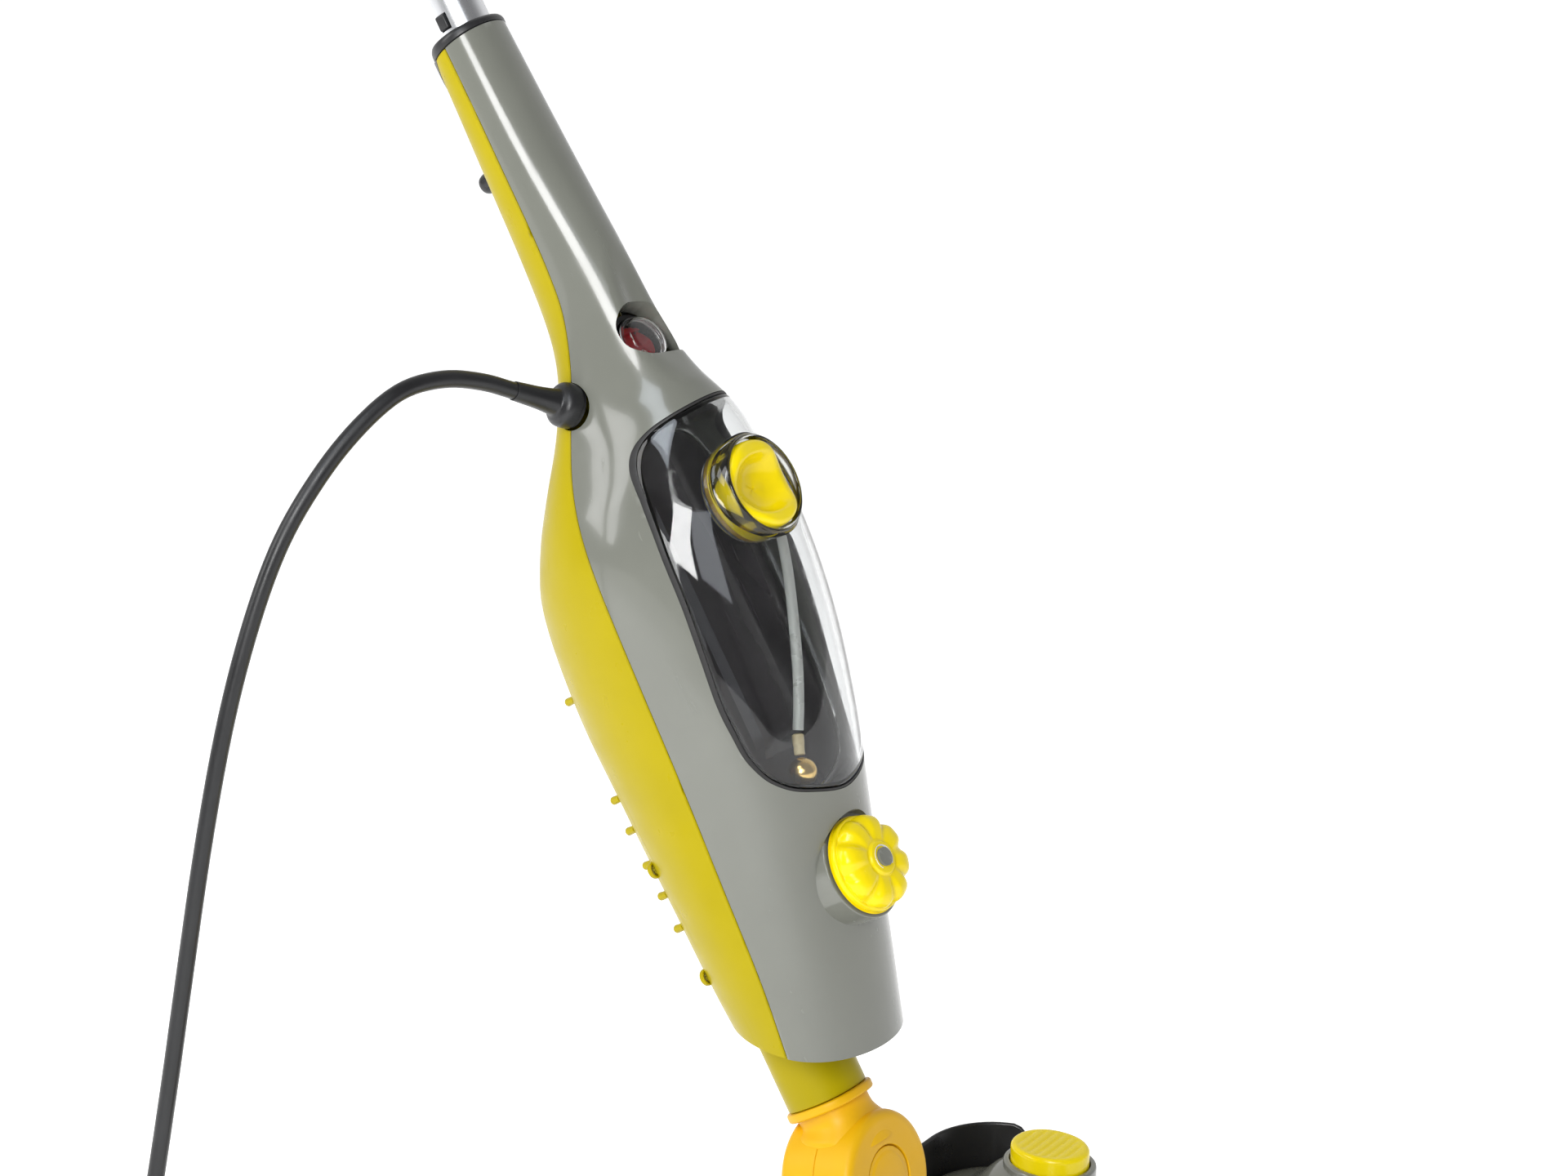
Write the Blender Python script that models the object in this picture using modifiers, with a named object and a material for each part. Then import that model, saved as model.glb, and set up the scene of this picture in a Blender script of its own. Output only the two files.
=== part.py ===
"""Steam mop: floor head, two-axis knuckle, boiler body, handle and mains cord. Metres, +Z up.

The origin is on the floor under the knuckle's centre. +X is the head's pointed front, +Y its left.
The mop leans back from the knuckle. Its body has its own frame, whose Z runs up the handle and
whose X is the body's front, so most lengths below are heights and depths in that frame.
"""

import math

import bmesh
import bpy
from mathutils import Matrix, Vector

MM = 0.001
GAP = 0.3 * MM  # left between pieces that touch

# Stance
KNUCKLE_Z = 85 * MM
LEAN = math.radians(31)
DISC_TILT = math.radians(17)  # the knuckle's roll axis, below the body's front direction
NECK_DROP = 4.5 * MM  # from the body frame's origin down to the knuckle's centre
ARM = 47 * MM  # from the knuckle's centre down its disc to the pitch axle

# Body stations: height, seam depth, front depth, back depth, half width (mm)
STATIONS = (
    (40, 23, 48, -10, 37),
    (60, 27, 56, -13.5, 39),
    (100, 36, 71, -18, 43),
    (150, 44, 89, -19, 48),
    (200, 51, 109, -20, 52),
    (250, 56, 123, -20, 55),
    (300, 59, 128.5, -12, 55),
    (325, 58, 126.5, 2, 49),
    (346, 58, 125.6, 18.6, 40),
    (369, 62.5, 116.5, 37.5, 30),
    (395, 73, 110.6, 51.7, 24),
    (425, 80, 107.8, 56, 20.5),
    (500, 81.5, 101, 60, 20),
    (560, 80, 97.5, 62.5, 19),
)
WALL = 2.4 * MM
SEAM_LIP = 0.6 * MM  # left open each side of the seam
RIM_HEIGHT = 50 * MM  # of the bottom rim, at RIM_DEPTH
RIM_DEPTH = 53 * MM
NECK_TOP = 549.5 * MM  # of the neck's slanted end, on the tube's axis
NECK_SLANT = 0.18
COLLAR_TOP = 554.5 * MM
COLLAR_SLANT = 0.1

# Handle
TUBE_DEPTH = 81 * MM
TUBE_RADIUS = 12.75 * MM
TUBE_WALL = 1.2 * MM
TUBE_FOOT = 470 * MM
GRIP_FOOT = 885 * MM
GRIP_TOP = 1095 * MM
GRIP_RADIUS = 17 * MM
CATCH_HEIGHT = 561.5 * MM
CATCH_TURN = math.radians(90)
LOWER_HOOK = 640 * MM
UPPER_HOOK = 850 * MM

# Screws through the back cover: height and side
SCREWS = ((522 * MM, 0.0), (454 * MM, 0.0), (168 * MM, 33 * MM), (168 * MM, -33 * MM),
          (112 * MM, 27 * MM), (112 * MM, -27 * MM))
SCREW_RECESS = 3.2 * MM

# Controls on the front of the body
KNOB_HEIGHT = 131 * MM
KNOB_RADIUS = 22.5 * MM
KNOB_BACK = 86 * MM
KNOB_FACE = 98 * MM
KNOB_PETALS = 8
PETAL_DEPTH = 1.6 * MM
STEM_RADIUS = 4 * MM
CAP_HEIGHT = 307.6 * MM
SWITCH_HEIGHT = 391 * MM
SWITCH_DEPTH = 101.5 * MM
SWITCH_TILT = math.radians(8)
ROCKER_TILT = math.radians(10)
FLAT_MIDDLE = 399 * MM
FLAT_REACH = 42 * MM
FLAT_DEPTH = 7 * MM
RELEASE_HEIGHT = 490 * MM
RELEASE_HOLE = 5.4 * MM

# Water tank: the window's outline as height and half width (mm), bottom to top
WINDOW = ((167, 0), (173, 23), (182, 35), (195, 41.5), (210, 44.5), (230, 46.8), (300, 47.4),
          (325, 42.4), (340, 37.4), (349, 32), (353, 22), (354, 0))
TANK_BACK = 76 * MM

# Knuckle and the tube that joins it to the body
DISC_RADIUS = 33 * MM
DISC_HALF = 20.5 * MM
CONNECTOR_DEPTH = 6.5 * MM
CONNECTOR_TOP = 104 * MM
NECK_FLANGE = 38.5 * MM
PIN_HOLE = 5.4 * MM
AXLE_RADIUS = 3 * MM

# Floor head
HEAD_BACK = -35 * MM
HEAD_FRONT = 150 * MM
HEAD_HALF = 162 * MM
CORNER = 36 * MM
HEAD_MIDDLE = 42 * MM  # the deck's rings shrink about this X
HEAD_SPAN = 105 * MM
BUTTON_AT = (28 * MM, 134 * MM)
BUTTON_TOP = 55 * MM
BUTTON_HALF = (20.4 * MM, 16.9 * MM)
COLLAR_HALF = (24 * MM, 20.5 * MM)
COLLAR_RIM = 46 * MM
DECK_RISE = 15 * MM  # the deck's climb to the collar
DECK_RISE_REACH = 1.9  # where it starts, in collar sizes from the button's middle
LUG_SIDE = 20 * MM
PLATE_TOP = 11.4 * MM
REAR_WALL = 44 * MM  # height of the skirt behind the buttons

# Cord
CORD_RADIUS = 4 * MM
CORD_EXIT_SIDE = Vector((-0.361, -0.932, 0))  # level direction in which the cord leaves
GLAND_LENGTH = 32 * MM
GLAND_RISE = math.radians(22)
GLAND_AT = (66 * MM, -27.6 * MM, 377 * MM)  # depth, side, height
GLAND_HOLE = 10.8 * MM
CORD_DROP = ((46, 18.5), (66, 22.5), (88, 19.5), (111, 4.5), (132, -17), (150, -43),
             (166, -79), (180, -122), (193, -175), (205, -233), (217, -292), (230, -349), (247, -398),
             (270, -430), (296, -440.8), (322, -441.7))  # mm out from the gland and up
COIL_RADIUS = 60 * MM  # of its outermost turn
COIL_HOLE = 31.5 * MM
COIL_HEIGHT = 32 * MM
CORD_LANDS = 318 * MM
PLUG_AT = Vector((0, 46 * MM, COIL_HEIGHT + 12.4 * MM))  # from the coil's centre
PLUG_TURN = math.radians(12)

STEEL = (0.72, 0.72, 0.72)
BLACK = (0.012, 0.012, 0.013)
GREY = (0.50, 0.50, 0.46)
LIME = (0.78, 0.66, 0.0)
YELLOW = (0.95, 0.80, 0.0)
ORANGE = (0.88, 0.55, 0.01)


def clear_scene():
    for old in list(bpy.data.objects):
        bpy.data.objects.remove(old, do_unlink=True)


def collection(name):
    made = bpy.data.collections.new(name)
    bpy.context.scene.collection.children.link(made)
    return made


def frame_at(name, location, rotation=(0, 0, 0), parent=None):
    empty = bpy.data.objects.new(name, None)
    empty.location = location
    empty.rotation_euler = rotation
    empty.parent = parent
    PARTS.objects.link(empty)
    return empty


def material(name, colour, roughness=0.4, metallic=0.0, alpha=1.0):
    made = bpy.data.materials.get(name)
    if made:
        return made
    made = bpy.data.materials.new(name)
    made.use_nodes = True
    shader = made.node_tree.nodes["Principled BSDF"]
    shader.inputs["Base Color"].default_value = (*colour, 1)
    shader.inputs["Roughness"].default_value = roughness
    shader.inputs["Metallic"].default_value = metallic
    shader.inputs["Alpha"].default_value = alpha
    return made


def silicone():
    return material("silicone", (0.8, 0.8, 0.75), 0.3)


def shaded(obj):
    obj.data.shade_smooth()
    obj.data.set_sharp_from_angle(angle=math.radians(35))


def link(name, mesh, parent, finish, at=(0, 0, 0), turn=(0, 0, 0)):
    """A node, or a cutter when finish is None."""
    obj = bpy.data.objects.new(name, mesh)
    obj.parent = parent
    obj.location = at
    obj.rotation_euler = turn
    if finish is None:
        obj.hide_render = True
        obj.display_type = "WIRE"
        CUTTERS.objects.link(obj)
    else:
        obj.data.materials.append(finish)
        PARTS.objects.link(obj)
    return obj


def mesh_of(name, bm):
    bmesh.ops.recalc_face_normals(bm, faces=bm.faces)
    mesh = bpy.data.meshes.new(name)
    bm.to_mesh(mesh)
    bm.free()
    return mesh


def block(name, size, parent, finish, at=(0, 0, 0), turn=(0, 0, 0), bevel=0.0):
    bm = bmesh.new()
    bmesh.ops.create_cube(bm, size=1)
    bmesh.ops.scale(bm, vec=size, verts=bm.verts)
    obj = link(name, mesh_of(name, bm), parent, finish, at, turn)
    if bevel:
        rounded = obj.modifiers.new("Bevel", "BEVEL")
        rounded.width = bevel
        rounded.segments = 2
    return obj


def rod(name, radius, length, parent, finish, at=(0, 0, 0), turn=(0, 0, 0), sides=24, end=None):
    """A cylinder, or a cone to radius end, from at along its Z."""
    bm = bmesh.new()
    bmesh.ops.create_cone(bm, cap_ends=True, segments=sides, radius1=radius,
                          radius2=radius if end is None else end, depth=length)
    bmesh.ops.translate(bm, vec=(0, 0, length / 2), verts=bm.verts)
    obj = link(name, mesh_of(name, bm), parent, finish, at, turn)
    shaded(obj)
    return obj


def turned(name, profile, parent, finish, at=(0, 0, 0), turn=(0, 0, 0), steps=20, closed=False):
    """A solid of revolution about Z. The profile holds radius and height in mm, outer side downwards."""
    mesh = bpy.data.meshes.new(name)
    ends = len(profile)
    edges = [(i, (i + 1) % ends) for i in range(ends if closed else ends - 1)]
    mesh.from_pydata([(r * MM, 0, z * MM) for r, z in profile], edges, [])
    obj = link(name, mesh, parent, finish, at, turn)
    spun = obj.modifiers.new("Screw", "SCREW")
    spun.steps = spun.render_steps = steps
    spun.use_merge_vertices = True
    spun.merge_threshold = 0.00001
    return obj


def sleeve(name, outer, inner, low, high, parent, finish, at=(0, 0, 0), turn=(0, 0, 0), steps=20):
    ring = [(outer, high), (outer, low), (inner, low), (inner, high)]
    return turned(name, ring, parent, finish, at, turn, steps, closed=True)


def as_mesh(obj):
    """Swaps a curve object for the mesh it makes, with its caps welded on."""
    graph = bpy.context.evaluated_depsgraph_get()
    bpy.context.view_layer.update()
    mesh = bpy.data.meshes.new_from_object(obj.evaluated_get(graph))
    bm = bmesh.new()
    bm.from_mesh(mesh)
    bmesh.ops.remove_doubles(bm, verts=bm.verts, dist=0.00002)
    bmesh.ops.recalc_face_normals(bm, faces=bm.faces)
    bm.to_mesh(mesh)
    bm.free()
    made = bpy.data.objects.new(obj.name + "_mesh", mesh)
    made.parent = obj.parent
    made.matrix_local = obj.matrix_local
    made.hide_render = obj.hide_render
    made.display_type = obj.display_type
    for owner in obj.users_collection:
        owner.objects.link(made)
    name = obj.name
    bpy.data.objects.remove(obj, do_unlink=True)
    made.name = name
    return made


def slab(name, outline, thickness, parent, finish, at=(0, 0, 0), turn=(0, 0, 0)):
    """A flat outline in XY, thickened evenly about its plane, as a mesh."""
    curve = bpy.data.curves.new(name, "CURVE")
    curve.dimensions = "2D"
    curve.fill_mode = "BOTH"
    curve.extrude = thickness / 2
    line = curve.splines.new("POLY")
    line.points.add(len(outline) - 1)
    for point, (x, y) in zip(line.points, outline):
        point.co = (x, y, 0, 1)
    line.use_cyclic_u = True
    return as_mesh(link(name, curve, parent, finish, at, turn))


def tube_along(name, points, radius, parent, finish, resolution=2):
    curve = bpy.data.curves.new(name, "CURVE")
    curve.dimensions = "3D"
    curve.bevel_depth = radius
    curve.bevel_resolution = resolution
    curve.use_fill_caps = True
    line = curve.splines.new("POLY")
    line.points.add(len(points) - 1)
    for point, place in zip(line.points, points):
        point.co = (*place, 1)
    return as_mesh(link(name, curve, parent, finish))


def smooth_through(points, steps):
    """Catmull-Rom points through a route, with so many steps between its own points."""
    route = [Vector(p) for p in points]
    route = [2 * route[0] - route[1]] + route + [2 * route[-1] - route[-2]]
    out = []
    for a, b, c, d in zip(route, route[1:], route[2:], route[3:]):
        for k in range(steps):
            u = k / steps
            out.append(0.5 * (2 * b + (c - a) * u + (2 * a - 5 * b + 4 * c - d) * u * u
                              + (3 * b - a - 3 * c + d) * u ** 3))
    return out + [route[-2]]


def boolean(obj, other, operation="DIFFERENCE"):
    step = obj.modifiers.new(operation.title() + "_" + other.name, "BOOLEAN")
    step.operation = operation
    step.object = other
    return obj


def baked(obj):
    """Applies the modifiers, so that another object can be cut by the result."""
    bpy.context.view_layer.update()
    graph = bpy.context.evaluated_depsgraph_get()
    mesh = bpy.data.meshes.new_from_object(obj.evaluated_get(graph))
    obj.modifiers.clear()
    obj.data = mesh
    return obj


# ---- the body's form ------------------------------------------------------------------------------


def station(height):
    """Seam, front and back depth and half width at a height, eased between the stations."""
    rows = STATIONS
    z = height / MM
    k = max(i for i in range(len(rows) - 1) if rows[i][0] <= z or i == 0)
    k = min(k, len(rows) - 2)
    here, after = rows[k], rows[k + 1]
    span = after[0] - here[0]
    u = (z - here[0]) / span
    found = []
    for n in range(1, 5):
        before_slope = slope(k, n) * span
        after_slope = slope(k + 1, n) * span
        a, b = here[n], after[n]
        found.append((a * (2 * u ** 3 - 3 * u ** 2 + 1) + before_slope * (u ** 3 - 2 * u ** 2 + u)
                      + b * (3 * u ** 2 - 2 * u ** 3) + after_slope * (u ** 3 - u ** 2)) * MM)
    return found


def slope(k, n):
    rows = STATIONS
    low = max(k - 1, 0)
    high = min(k + 1, len(rows) - 1)
    return (rows[high][n] - rows[low][n]) / (rows[high][0] - rows[low][0])


def body_point(height, angle, inset=0.0):
    """A point of the body's surface: angle 0 is the front, a quarter turn the seam."""
    seam, front, back, half = station(height)
    turn = math.cos(angle)
    reach = (front - seam - flattening(height) * turn ** 12 if turn > 0 else seam - back) - inset
    return Vector((seam + reach * turn, (half - inset) * math.sin(angle), height))


def flattening(height):
    """How far the middle of the front is drawn in around the switch, where the face is nearly flat."""
    away = abs(height - FLAT_MIDDLE) / FLAT_REACH
    return FLAT_DEPTH * (1 - away * away) ** 2 if away < 1 else 0.0


def body_heights(low, high, step=33 * MM):
    count = max(2, round((high - low) / step))
    return [low + (high - low) * k / count for k in range(count + 1)]


def half_sheet(low, high, middle, steps=10):
    """The open surface of the body's front or back half, about its middle angle, as a bmesh."""
    bm = bmesh.new()
    rows = []
    for height in body_heights(low, high):
        seam, front, back, _ = station(height)
        reach = front - seam if middle == 0 else seam - back
        swing = math.pi / 2 - SEAM_LIP / reach
        rows.append([bm.verts.new(body_point(height, middle + swing * (2 * k / steps - 1)))
                     for k in range(steps + 1)])
    for below, above in zip(rows, rows[1:]):
        for k in range(steps):
            bm.faces.new((below[k], below[k + 1], above[k + 1], above[k]))
    return bm


def core_of(low, high, inset, steps=20):
    """The closed volume inside the body's surface, as a bmesh."""
    bm = bmesh.new()
    rows = []
    for height in body_heights(low, high):
        rows.append([bm.verts.new(body_point(height, 2 * math.pi * k / steps, inset))
                     for k in range(steps)])
    for below, above in zip(rows, rows[1:]):
        for k in range(steps):
            n = (k + 1) % steps
            bm.faces.new((below[k], below[n], above[n], above[k]))
    bm.faces.new(rows[0])
    bm.faces.new(rows[-1][::-1])
    return bm


def cut_plane(bm, point, normal, fill=False):
    """Removes what lies on the normal's side of a plane."""
    geometry = bm.verts[:] + bm.edges[:] + bm.faces[:]
    cut = bmesh.ops.bisect_plane(bm, geom=geometry, plane_co=point, plane_no=normal, clear_outer=True)
    if fill:
        edges = [e for e in cut["geom_cut"] if isinstance(e, bmesh.types.BMEdge)]
        bmesh.ops.holes_fill(bm, edges=edges, sides=0)


def rim_plane(shift=0.0):
    """The body's bottom plane, level with the floor. The normal points down."""
    return Vector((RIM_DEPTH, 0, RIM_HEIGHT + shift)), Vector((-math.sin(LEAN), 0, -math.cos(LEAN)))


def neck_plane(top=NECK_TOP, slant=NECK_SLANT):
    return Vector((TUBE_DEPTH, 0, top)), Vector((-slant, 0, 1)).normalized()


def window_cutter(name, inset, near, far, finish=None):
    """The tank window's outline, drawn in by inset, from depth near to depth far."""
    middle = (WINDOW[0][0] + WINDOW[-1][0]) / 2 * MM
    half_height = (WINDOW[-1][0] - WINDOW[0][0]) / 2 * MM
    squeeze = (half_height - inset) / half_height
    side = [(middle + (z * MM - middle) * squeeze, y * MM * (1 - inset / (47 * MM))) for z, y in WINDOW]
    outline = side + [(z, -y) for z, y in side[-2:0:-1]]
    # The slab's X runs up the body and its Y across, so it is turned to face forwards.
    return slab(name, outline, far - near, BODY, finish, at=((near + far) / 2, 0, 0),
                turn=(0, -math.pi / 2, 0))


def facing(depth, height, side=0.0):
    """Location and rotation that point a piece's Z out of the body's front."""
    return {"at": (depth, side, height), "turn": (0, math.pi / 2, 0)}


def backing(depth, height, side=0.0):
    return {"at": (depth, side, height), "turn": (0, -math.pi / 2, 0)}


# ---- body shells ----------------------------------------------------------------------------------


def shell_of(name, middle, finish):
    """Half of the housing's wall, cut off flat at its two end planes."""
    bm = half_sheet(36 * MM, 566 * MM, middle)
    obj = link(name, mesh_of(name, bm), BODY, finish)
    thick = obj.modifiers.new("Solidify", "SOLIDIFY")
    thick.thickness = WALL
    thick.offset = -1
    baked(obj)
    bm = bmesh.new()
    bm.from_mesh(obj.data)
    cut_plane(bm, *rim_plane(), fill=True)
    cut_plane(bm, *neck_plane(), fill=True)
    bm.to_mesh(obj.data)
    bm.free()
    return obj


def front_cover():
    cover = shell_of("front_cover", 0, material("grey_shell", GREY, 0.25))
    boss = rod("boss_ring", 27.5 * MM, 40 * MM, BODY, None, **facing(66 * MM, KNOB_HEIGHT))
    bm = core_of(60 * MM, 220 * MM, 0.2 * MM)
    boolean(boss, link("boss_limit", mesh_of("boss_limit", bm), BODY, None), "INTERSECT")
    pedestal = rod("pedestal", 25 * MM, 19 * MM, BODY, None, **facing(66 * MM, KNOB_HEIGHT))
    recess = rod("knob_recess", 25 * MM, 30 * MM, BODY, None, **facing(85 * MM, KNOB_HEIGHT))
    hollow = rod("boss_hollow", 22.3 * MM, 24.5 * MM, BODY, None, **facing(58 * MM, KNOB_HEIGHT))
    hole = rod("stem_hole", 4.4 * MM, 40 * MM, BODY, None, **facing(60 * MM, KNOB_HEIGHT))
    boolean(cover, boss, "UNION")
    boolean(cover, pedestal, "UNION")
    for cutter in (recess, hollow, hole, window_cutter("window", 0.0, 66 * MM, 150 * MM)):
        boolean(cover, cutter)
    boolean(cover, rod("switch_hole", 15 * MM, 40 * MM, SWITCH, None, at=(0, 0, -8 * MM)))
    boolean(cover, rod("gland_hole_a", GLAND_HOLE, 30 * MM, GLAND, None, at=(0, 0, -12 * MM)))
    return cover


def back_cover():
    cover = shell_of("back_cover", math.pi, material("lime_shell", LIME, 0.3))
    boolean(cover, rod("gland_hole_b", GLAND_HOLE, 30 * MM, GLAND, None, at=(0, 0, -12 * MM)))
    boolean(cover, rod("release_hole", RELEASE_HOLE, 30 * MM, BODY, None,
                       **backing(80 * MM, RELEASE_HEIGHT)))
    for n, (height, side) in enumerate(SCREWS):
        depth = back_depth(height, side)
        boolean(cover, rod(f"screw_recess_{n}", SCREW_RECESS, 12 * MM, BODY, None,
                           **backing(depth + 1.4 * MM, height, side)))
    return cover


def back_depth(height, side):
    """Depth of the back surface at a height and a distance to the side."""
    seam, _, back, half = station(height)
    return seam - (seam - back) * math.sqrt(1 - (side / half) ** 2)


def screws():
    steel = material("steel", STEEL, 0.3, 1.0)
    for n, (height, side) in enumerate(SCREWS):
        depth = back_depth(height, side)
        turned(f"cover_screw_{n + 1}", [(0, 1.6), (2.0, 1.6), (2.7, 0.9), (2.7, 0), (0, 0)], BODY, steel,
               steps=8, **backing(depth + 1.1 * MM, height, side))


def bottom_plate():
    bm = core_of(36 * MM, 130 * MM, WALL + GAP)
    cut_plane(bm, *rim_plane(3 * MM), fill=True)
    point, normal = rim_plane(6.5 * MM)
    cut_plane(bm, point, -normal, fill=True)
    plate = link("bottom_plate", mesh_of("bottom_plate", bm), BODY, material("dark_plastic", BLACK, 0.5))
    boolean(plate, slab("tube_hole", oval(20 * MM, 19.2 * MM), 120 * MM, BODY, None,
                        at=(CONNECTOR_DEPTH, 0, 90 * MM)))
    return plate


def oval(half_x, half_y, count=20, power=2.4):
    """A rounded oval, fuller than an ellipse."""
    points = []
    for k in range(count):
        angle = 2 * math.pi * k / count
        c, s = math.cos(angle), math.sin(angle)
        points.append((half_x * math.copysign(abs(c) ** (2 / power), c),
                       half_y * math.copysign(abs(s) ** (2 / power), s)))
    return points


def neck_collar():
    black = material("black_plastic", BLACK, 0.35)
    bm = core_of(455 * MM, 556 * MM, WALL + GAP)
    cut_plane(bm, *neck_plane(NECK_TOP + 2 * MM), fill=True)
    collar = link("neck_collar", mesh_of("neck_collar", bm), BODY, black)
    bm = core_of(500 * MM, 575 * MM, 0.0)
    low_point, low_normal = neck_plane(NECK_TOP + GAP)
    cut_plane(bm, low_point, -low_normal, fill=True)
    cut_plane(bm, *neck_plane(COLLAR_TOP, COLLAR_SLANT), fill=True)
    boolean(collar, link("collar_top", mesh_of("collar_top", bm), BODY, None), "UNION")
    boolean(collar, rod("tube_bore", TUBE_RADIUS + GAP, 140 * MM, BODY, None,
                        at=(TUBE_DEPTH, 0, TUBE_FOOT - GAP)))
    boolean(collar, rod("stem_way", RELEASE_HOLE, 22 * MM, BODY, None, **backing(76 * MM, RELEASE_HEIGHT)))
    boolean(collar, rod("screw_clear", SCREW_RECESS, 30 * MM, BODY, None, sides=16,
                        **backing(68 * MM, SCREWS[0][0])))
    return collar


def release_button():
    _, _, back, _ = station(RELEASE_HEIGHT)
    profile = [(0, 19), (3.4, 18.4), (5.0, 16.2), (5.0, 7.4), (3.0, 7.4), (3.0, 6.3), (0, 6.3)]
    turned("tube_release_button", profile, BODY, material("black_plastic", BLACK, 0.35), steps=20,
           **backing(back + 10 * MM, RELEASE_HEIGHT))


# ---- controls and tank ----------------------------------------------------------------------------


def steam_knob():
    outline = []
    count = 6 * KNOB_PETALS
    for k in range(count):
        angle = 2 * math.pi * k / count
        reach = KNOB_RADIUS - PETAL_DEPTH * abs(math.cos(KNOB_PETALS / 2 * angle)) ** 4
        outline.append((reach * math.cos(angle), reach * math.sin(angle)))
    middle = (KNOB_BACK + KNOB_FACE) / 2
    knob = slab("steam_knob", outline, KNOB_FACE - KNOB_BACK, BODY, material("yellow", YELLOW, 0.25),
                **facing(middle, KNOB_HEIGHT))
    boolean(knob, rod("knob_socket", STEM_RADIUS + GAP, 9 * MM, BODY, None,
                      **facing(KNOB_BACK - 2 * MM, KNOB_HEIGHT)))
    rod("knob_stem", STEM_RADIUS, 31 * MM, BODY, material("steel", STEEL, 0.3, 1.0), sides=20,
        **facing(61.5 * MM, KNOB_HEIGHT))
    block("steam_valve", (20 * MM, 26 * MM, 26 * MM), BODY, material("brass", (0.72, 0.5, 0.22), 0.35, 1.0),
          at=(51 * MM, 0, KNOB_HEIGHT), bevel=1.5 * MM)


def water_tank():
    clear = material("clear_plastic", (0.85, 0.88, 0.88), 0.05, 0.0, 0.35)
    outer = link("water_tank", mesh_of("water_tank", core_of(150 * MM, 372 * MM, 0.1 * MM)), BODY, clear)
    boolean(outer, window_cutter("tank_outline", 1.4 * MM, TANK_BACK, 150 * MM), "INTERSECT")
    boolean(outer, rod("fill_neck", 24 * MM, 22 * MM, BODY, None, **facing(105 * MM, CAP_HEIGHT)), "UNION")
    cavity = link("tank_cavity", mesh_of("tank_cavity", core_of(150 * MM, 372 * MM, 2.4 * MM)), BODY, None)
    boolean(cavity, window_cutter("cavity_outline", 3.8 * MM, TANK_BACK + 2.2 * MM, 150 * MM), "INTERSECT")
    throat = rod("throat", 24.2 * MM, 26 * MM, BODY, None, **facing(108.5 * MM, CAP_HEIGHT))
    boolean(cavity, throat)
    boolean(outer, cavity)
    boolean(outer, rod("fill_hole", 15.5 * MM, 30 * MM, BODY, None, **facing(100 * MM, CAP_HEIGHT)))
    boolean(outer, rod("cap_seat", 21.8 * MM, 30 * MM, BODY, None, **facing(111 * MM, CAP_HEIGHT)))
    return outer


def tank_trim():
    gasket = link("tank_gasket", mesh_of("tank_gasket", core_of(150 * MM, 372 * MM, 0.5 * MM)), BODY,
                  material("black_rubber", BLACK, 0.7))
    boolean(gasket, window_cutter("gasket_outer", 0.25 * MM, 70 * MM, 150 * MM), "INTERSECT")
    inner = link("gasket_core", mesh_of("gasket_core", core_of(140 * MM, 380 * MM, 2.6 * MM)), BODY, None)
    boolean(gasket, inner)
    boolean(gasket, window_cutter("gasket_hole", 1.1 * MM, 60 * MM, 160 * MM))
    tray = link("tank_tray", mesh_of("tank_tray", core_of(150 * MM, 372 * MM, WALL + 1 * MM)), BODY,
                material("dark_plastic", BLACK, 0.5))
    boolean(tray, window_cutter("tray_outline", 0.2 * MM, 70.5 * MM, TANK_BACK - GAP), "INTERSECT")
    yellow = material("yellow", YELLOW, 0.25)
    place = facing(0.0, CAP_HEIGHT)
    cap_profile = [(0, 120.5), (12, 122), (17.2, 127.2), (18.6, 128), (21, 126.4), (21, 114.8), (0, 114.8)]
    turned("tank_cap", cap_profile, BODY, yellow, steps=28, **place)
    turned("cap_thread_ring", [(21.2, 114.4), (21.2, 111.4), (15.8, 111.4), (15.8, 114.4)], BODY,
           material("amber", (0.55, 0.32, 0.03), 0.3), steps=28, closed=True, **place)
    hang_hose()


def hang_hose():
    """The suction hose from the filling neck to its barb and the brass ball that holds it down."""
    hose = smooth_through([(108, 19, 283), (106, 14.7, 267), (103, 7.1, 246), (98.5, 0.4, 225),
                           (94, -4.4, 210), (90.2, -7.6, 200)], 4)
    tube_along("tank_hose", [v * MM for v in hose], 2.4 * MM, BODY, silicone())
    rod("hose_barb", 2.6 * MM, 9.8 * MM, BODY, material("beige", (0.75, 0.66, 0.45), 0.4), sides=16,
        at=(87.9 * MM, -11.2 * MM, 189.5 * MM), turn=(-0.34, 0.16, 0))
    sinker = bmesh.new()
    bmesh.ops.create_uvsphere(sinker, u_segments=12, v_segments=8, radius=6.6 * MM)
    shaded(link("hose_sinker", mesh_of("hose_sinker", sinker), BODY,
                material("brass", (0.72, 0.5, 0.22), 0.35, 1.0), at=(86.8 * MM, -13 * MM, 182 * MM)))


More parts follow.
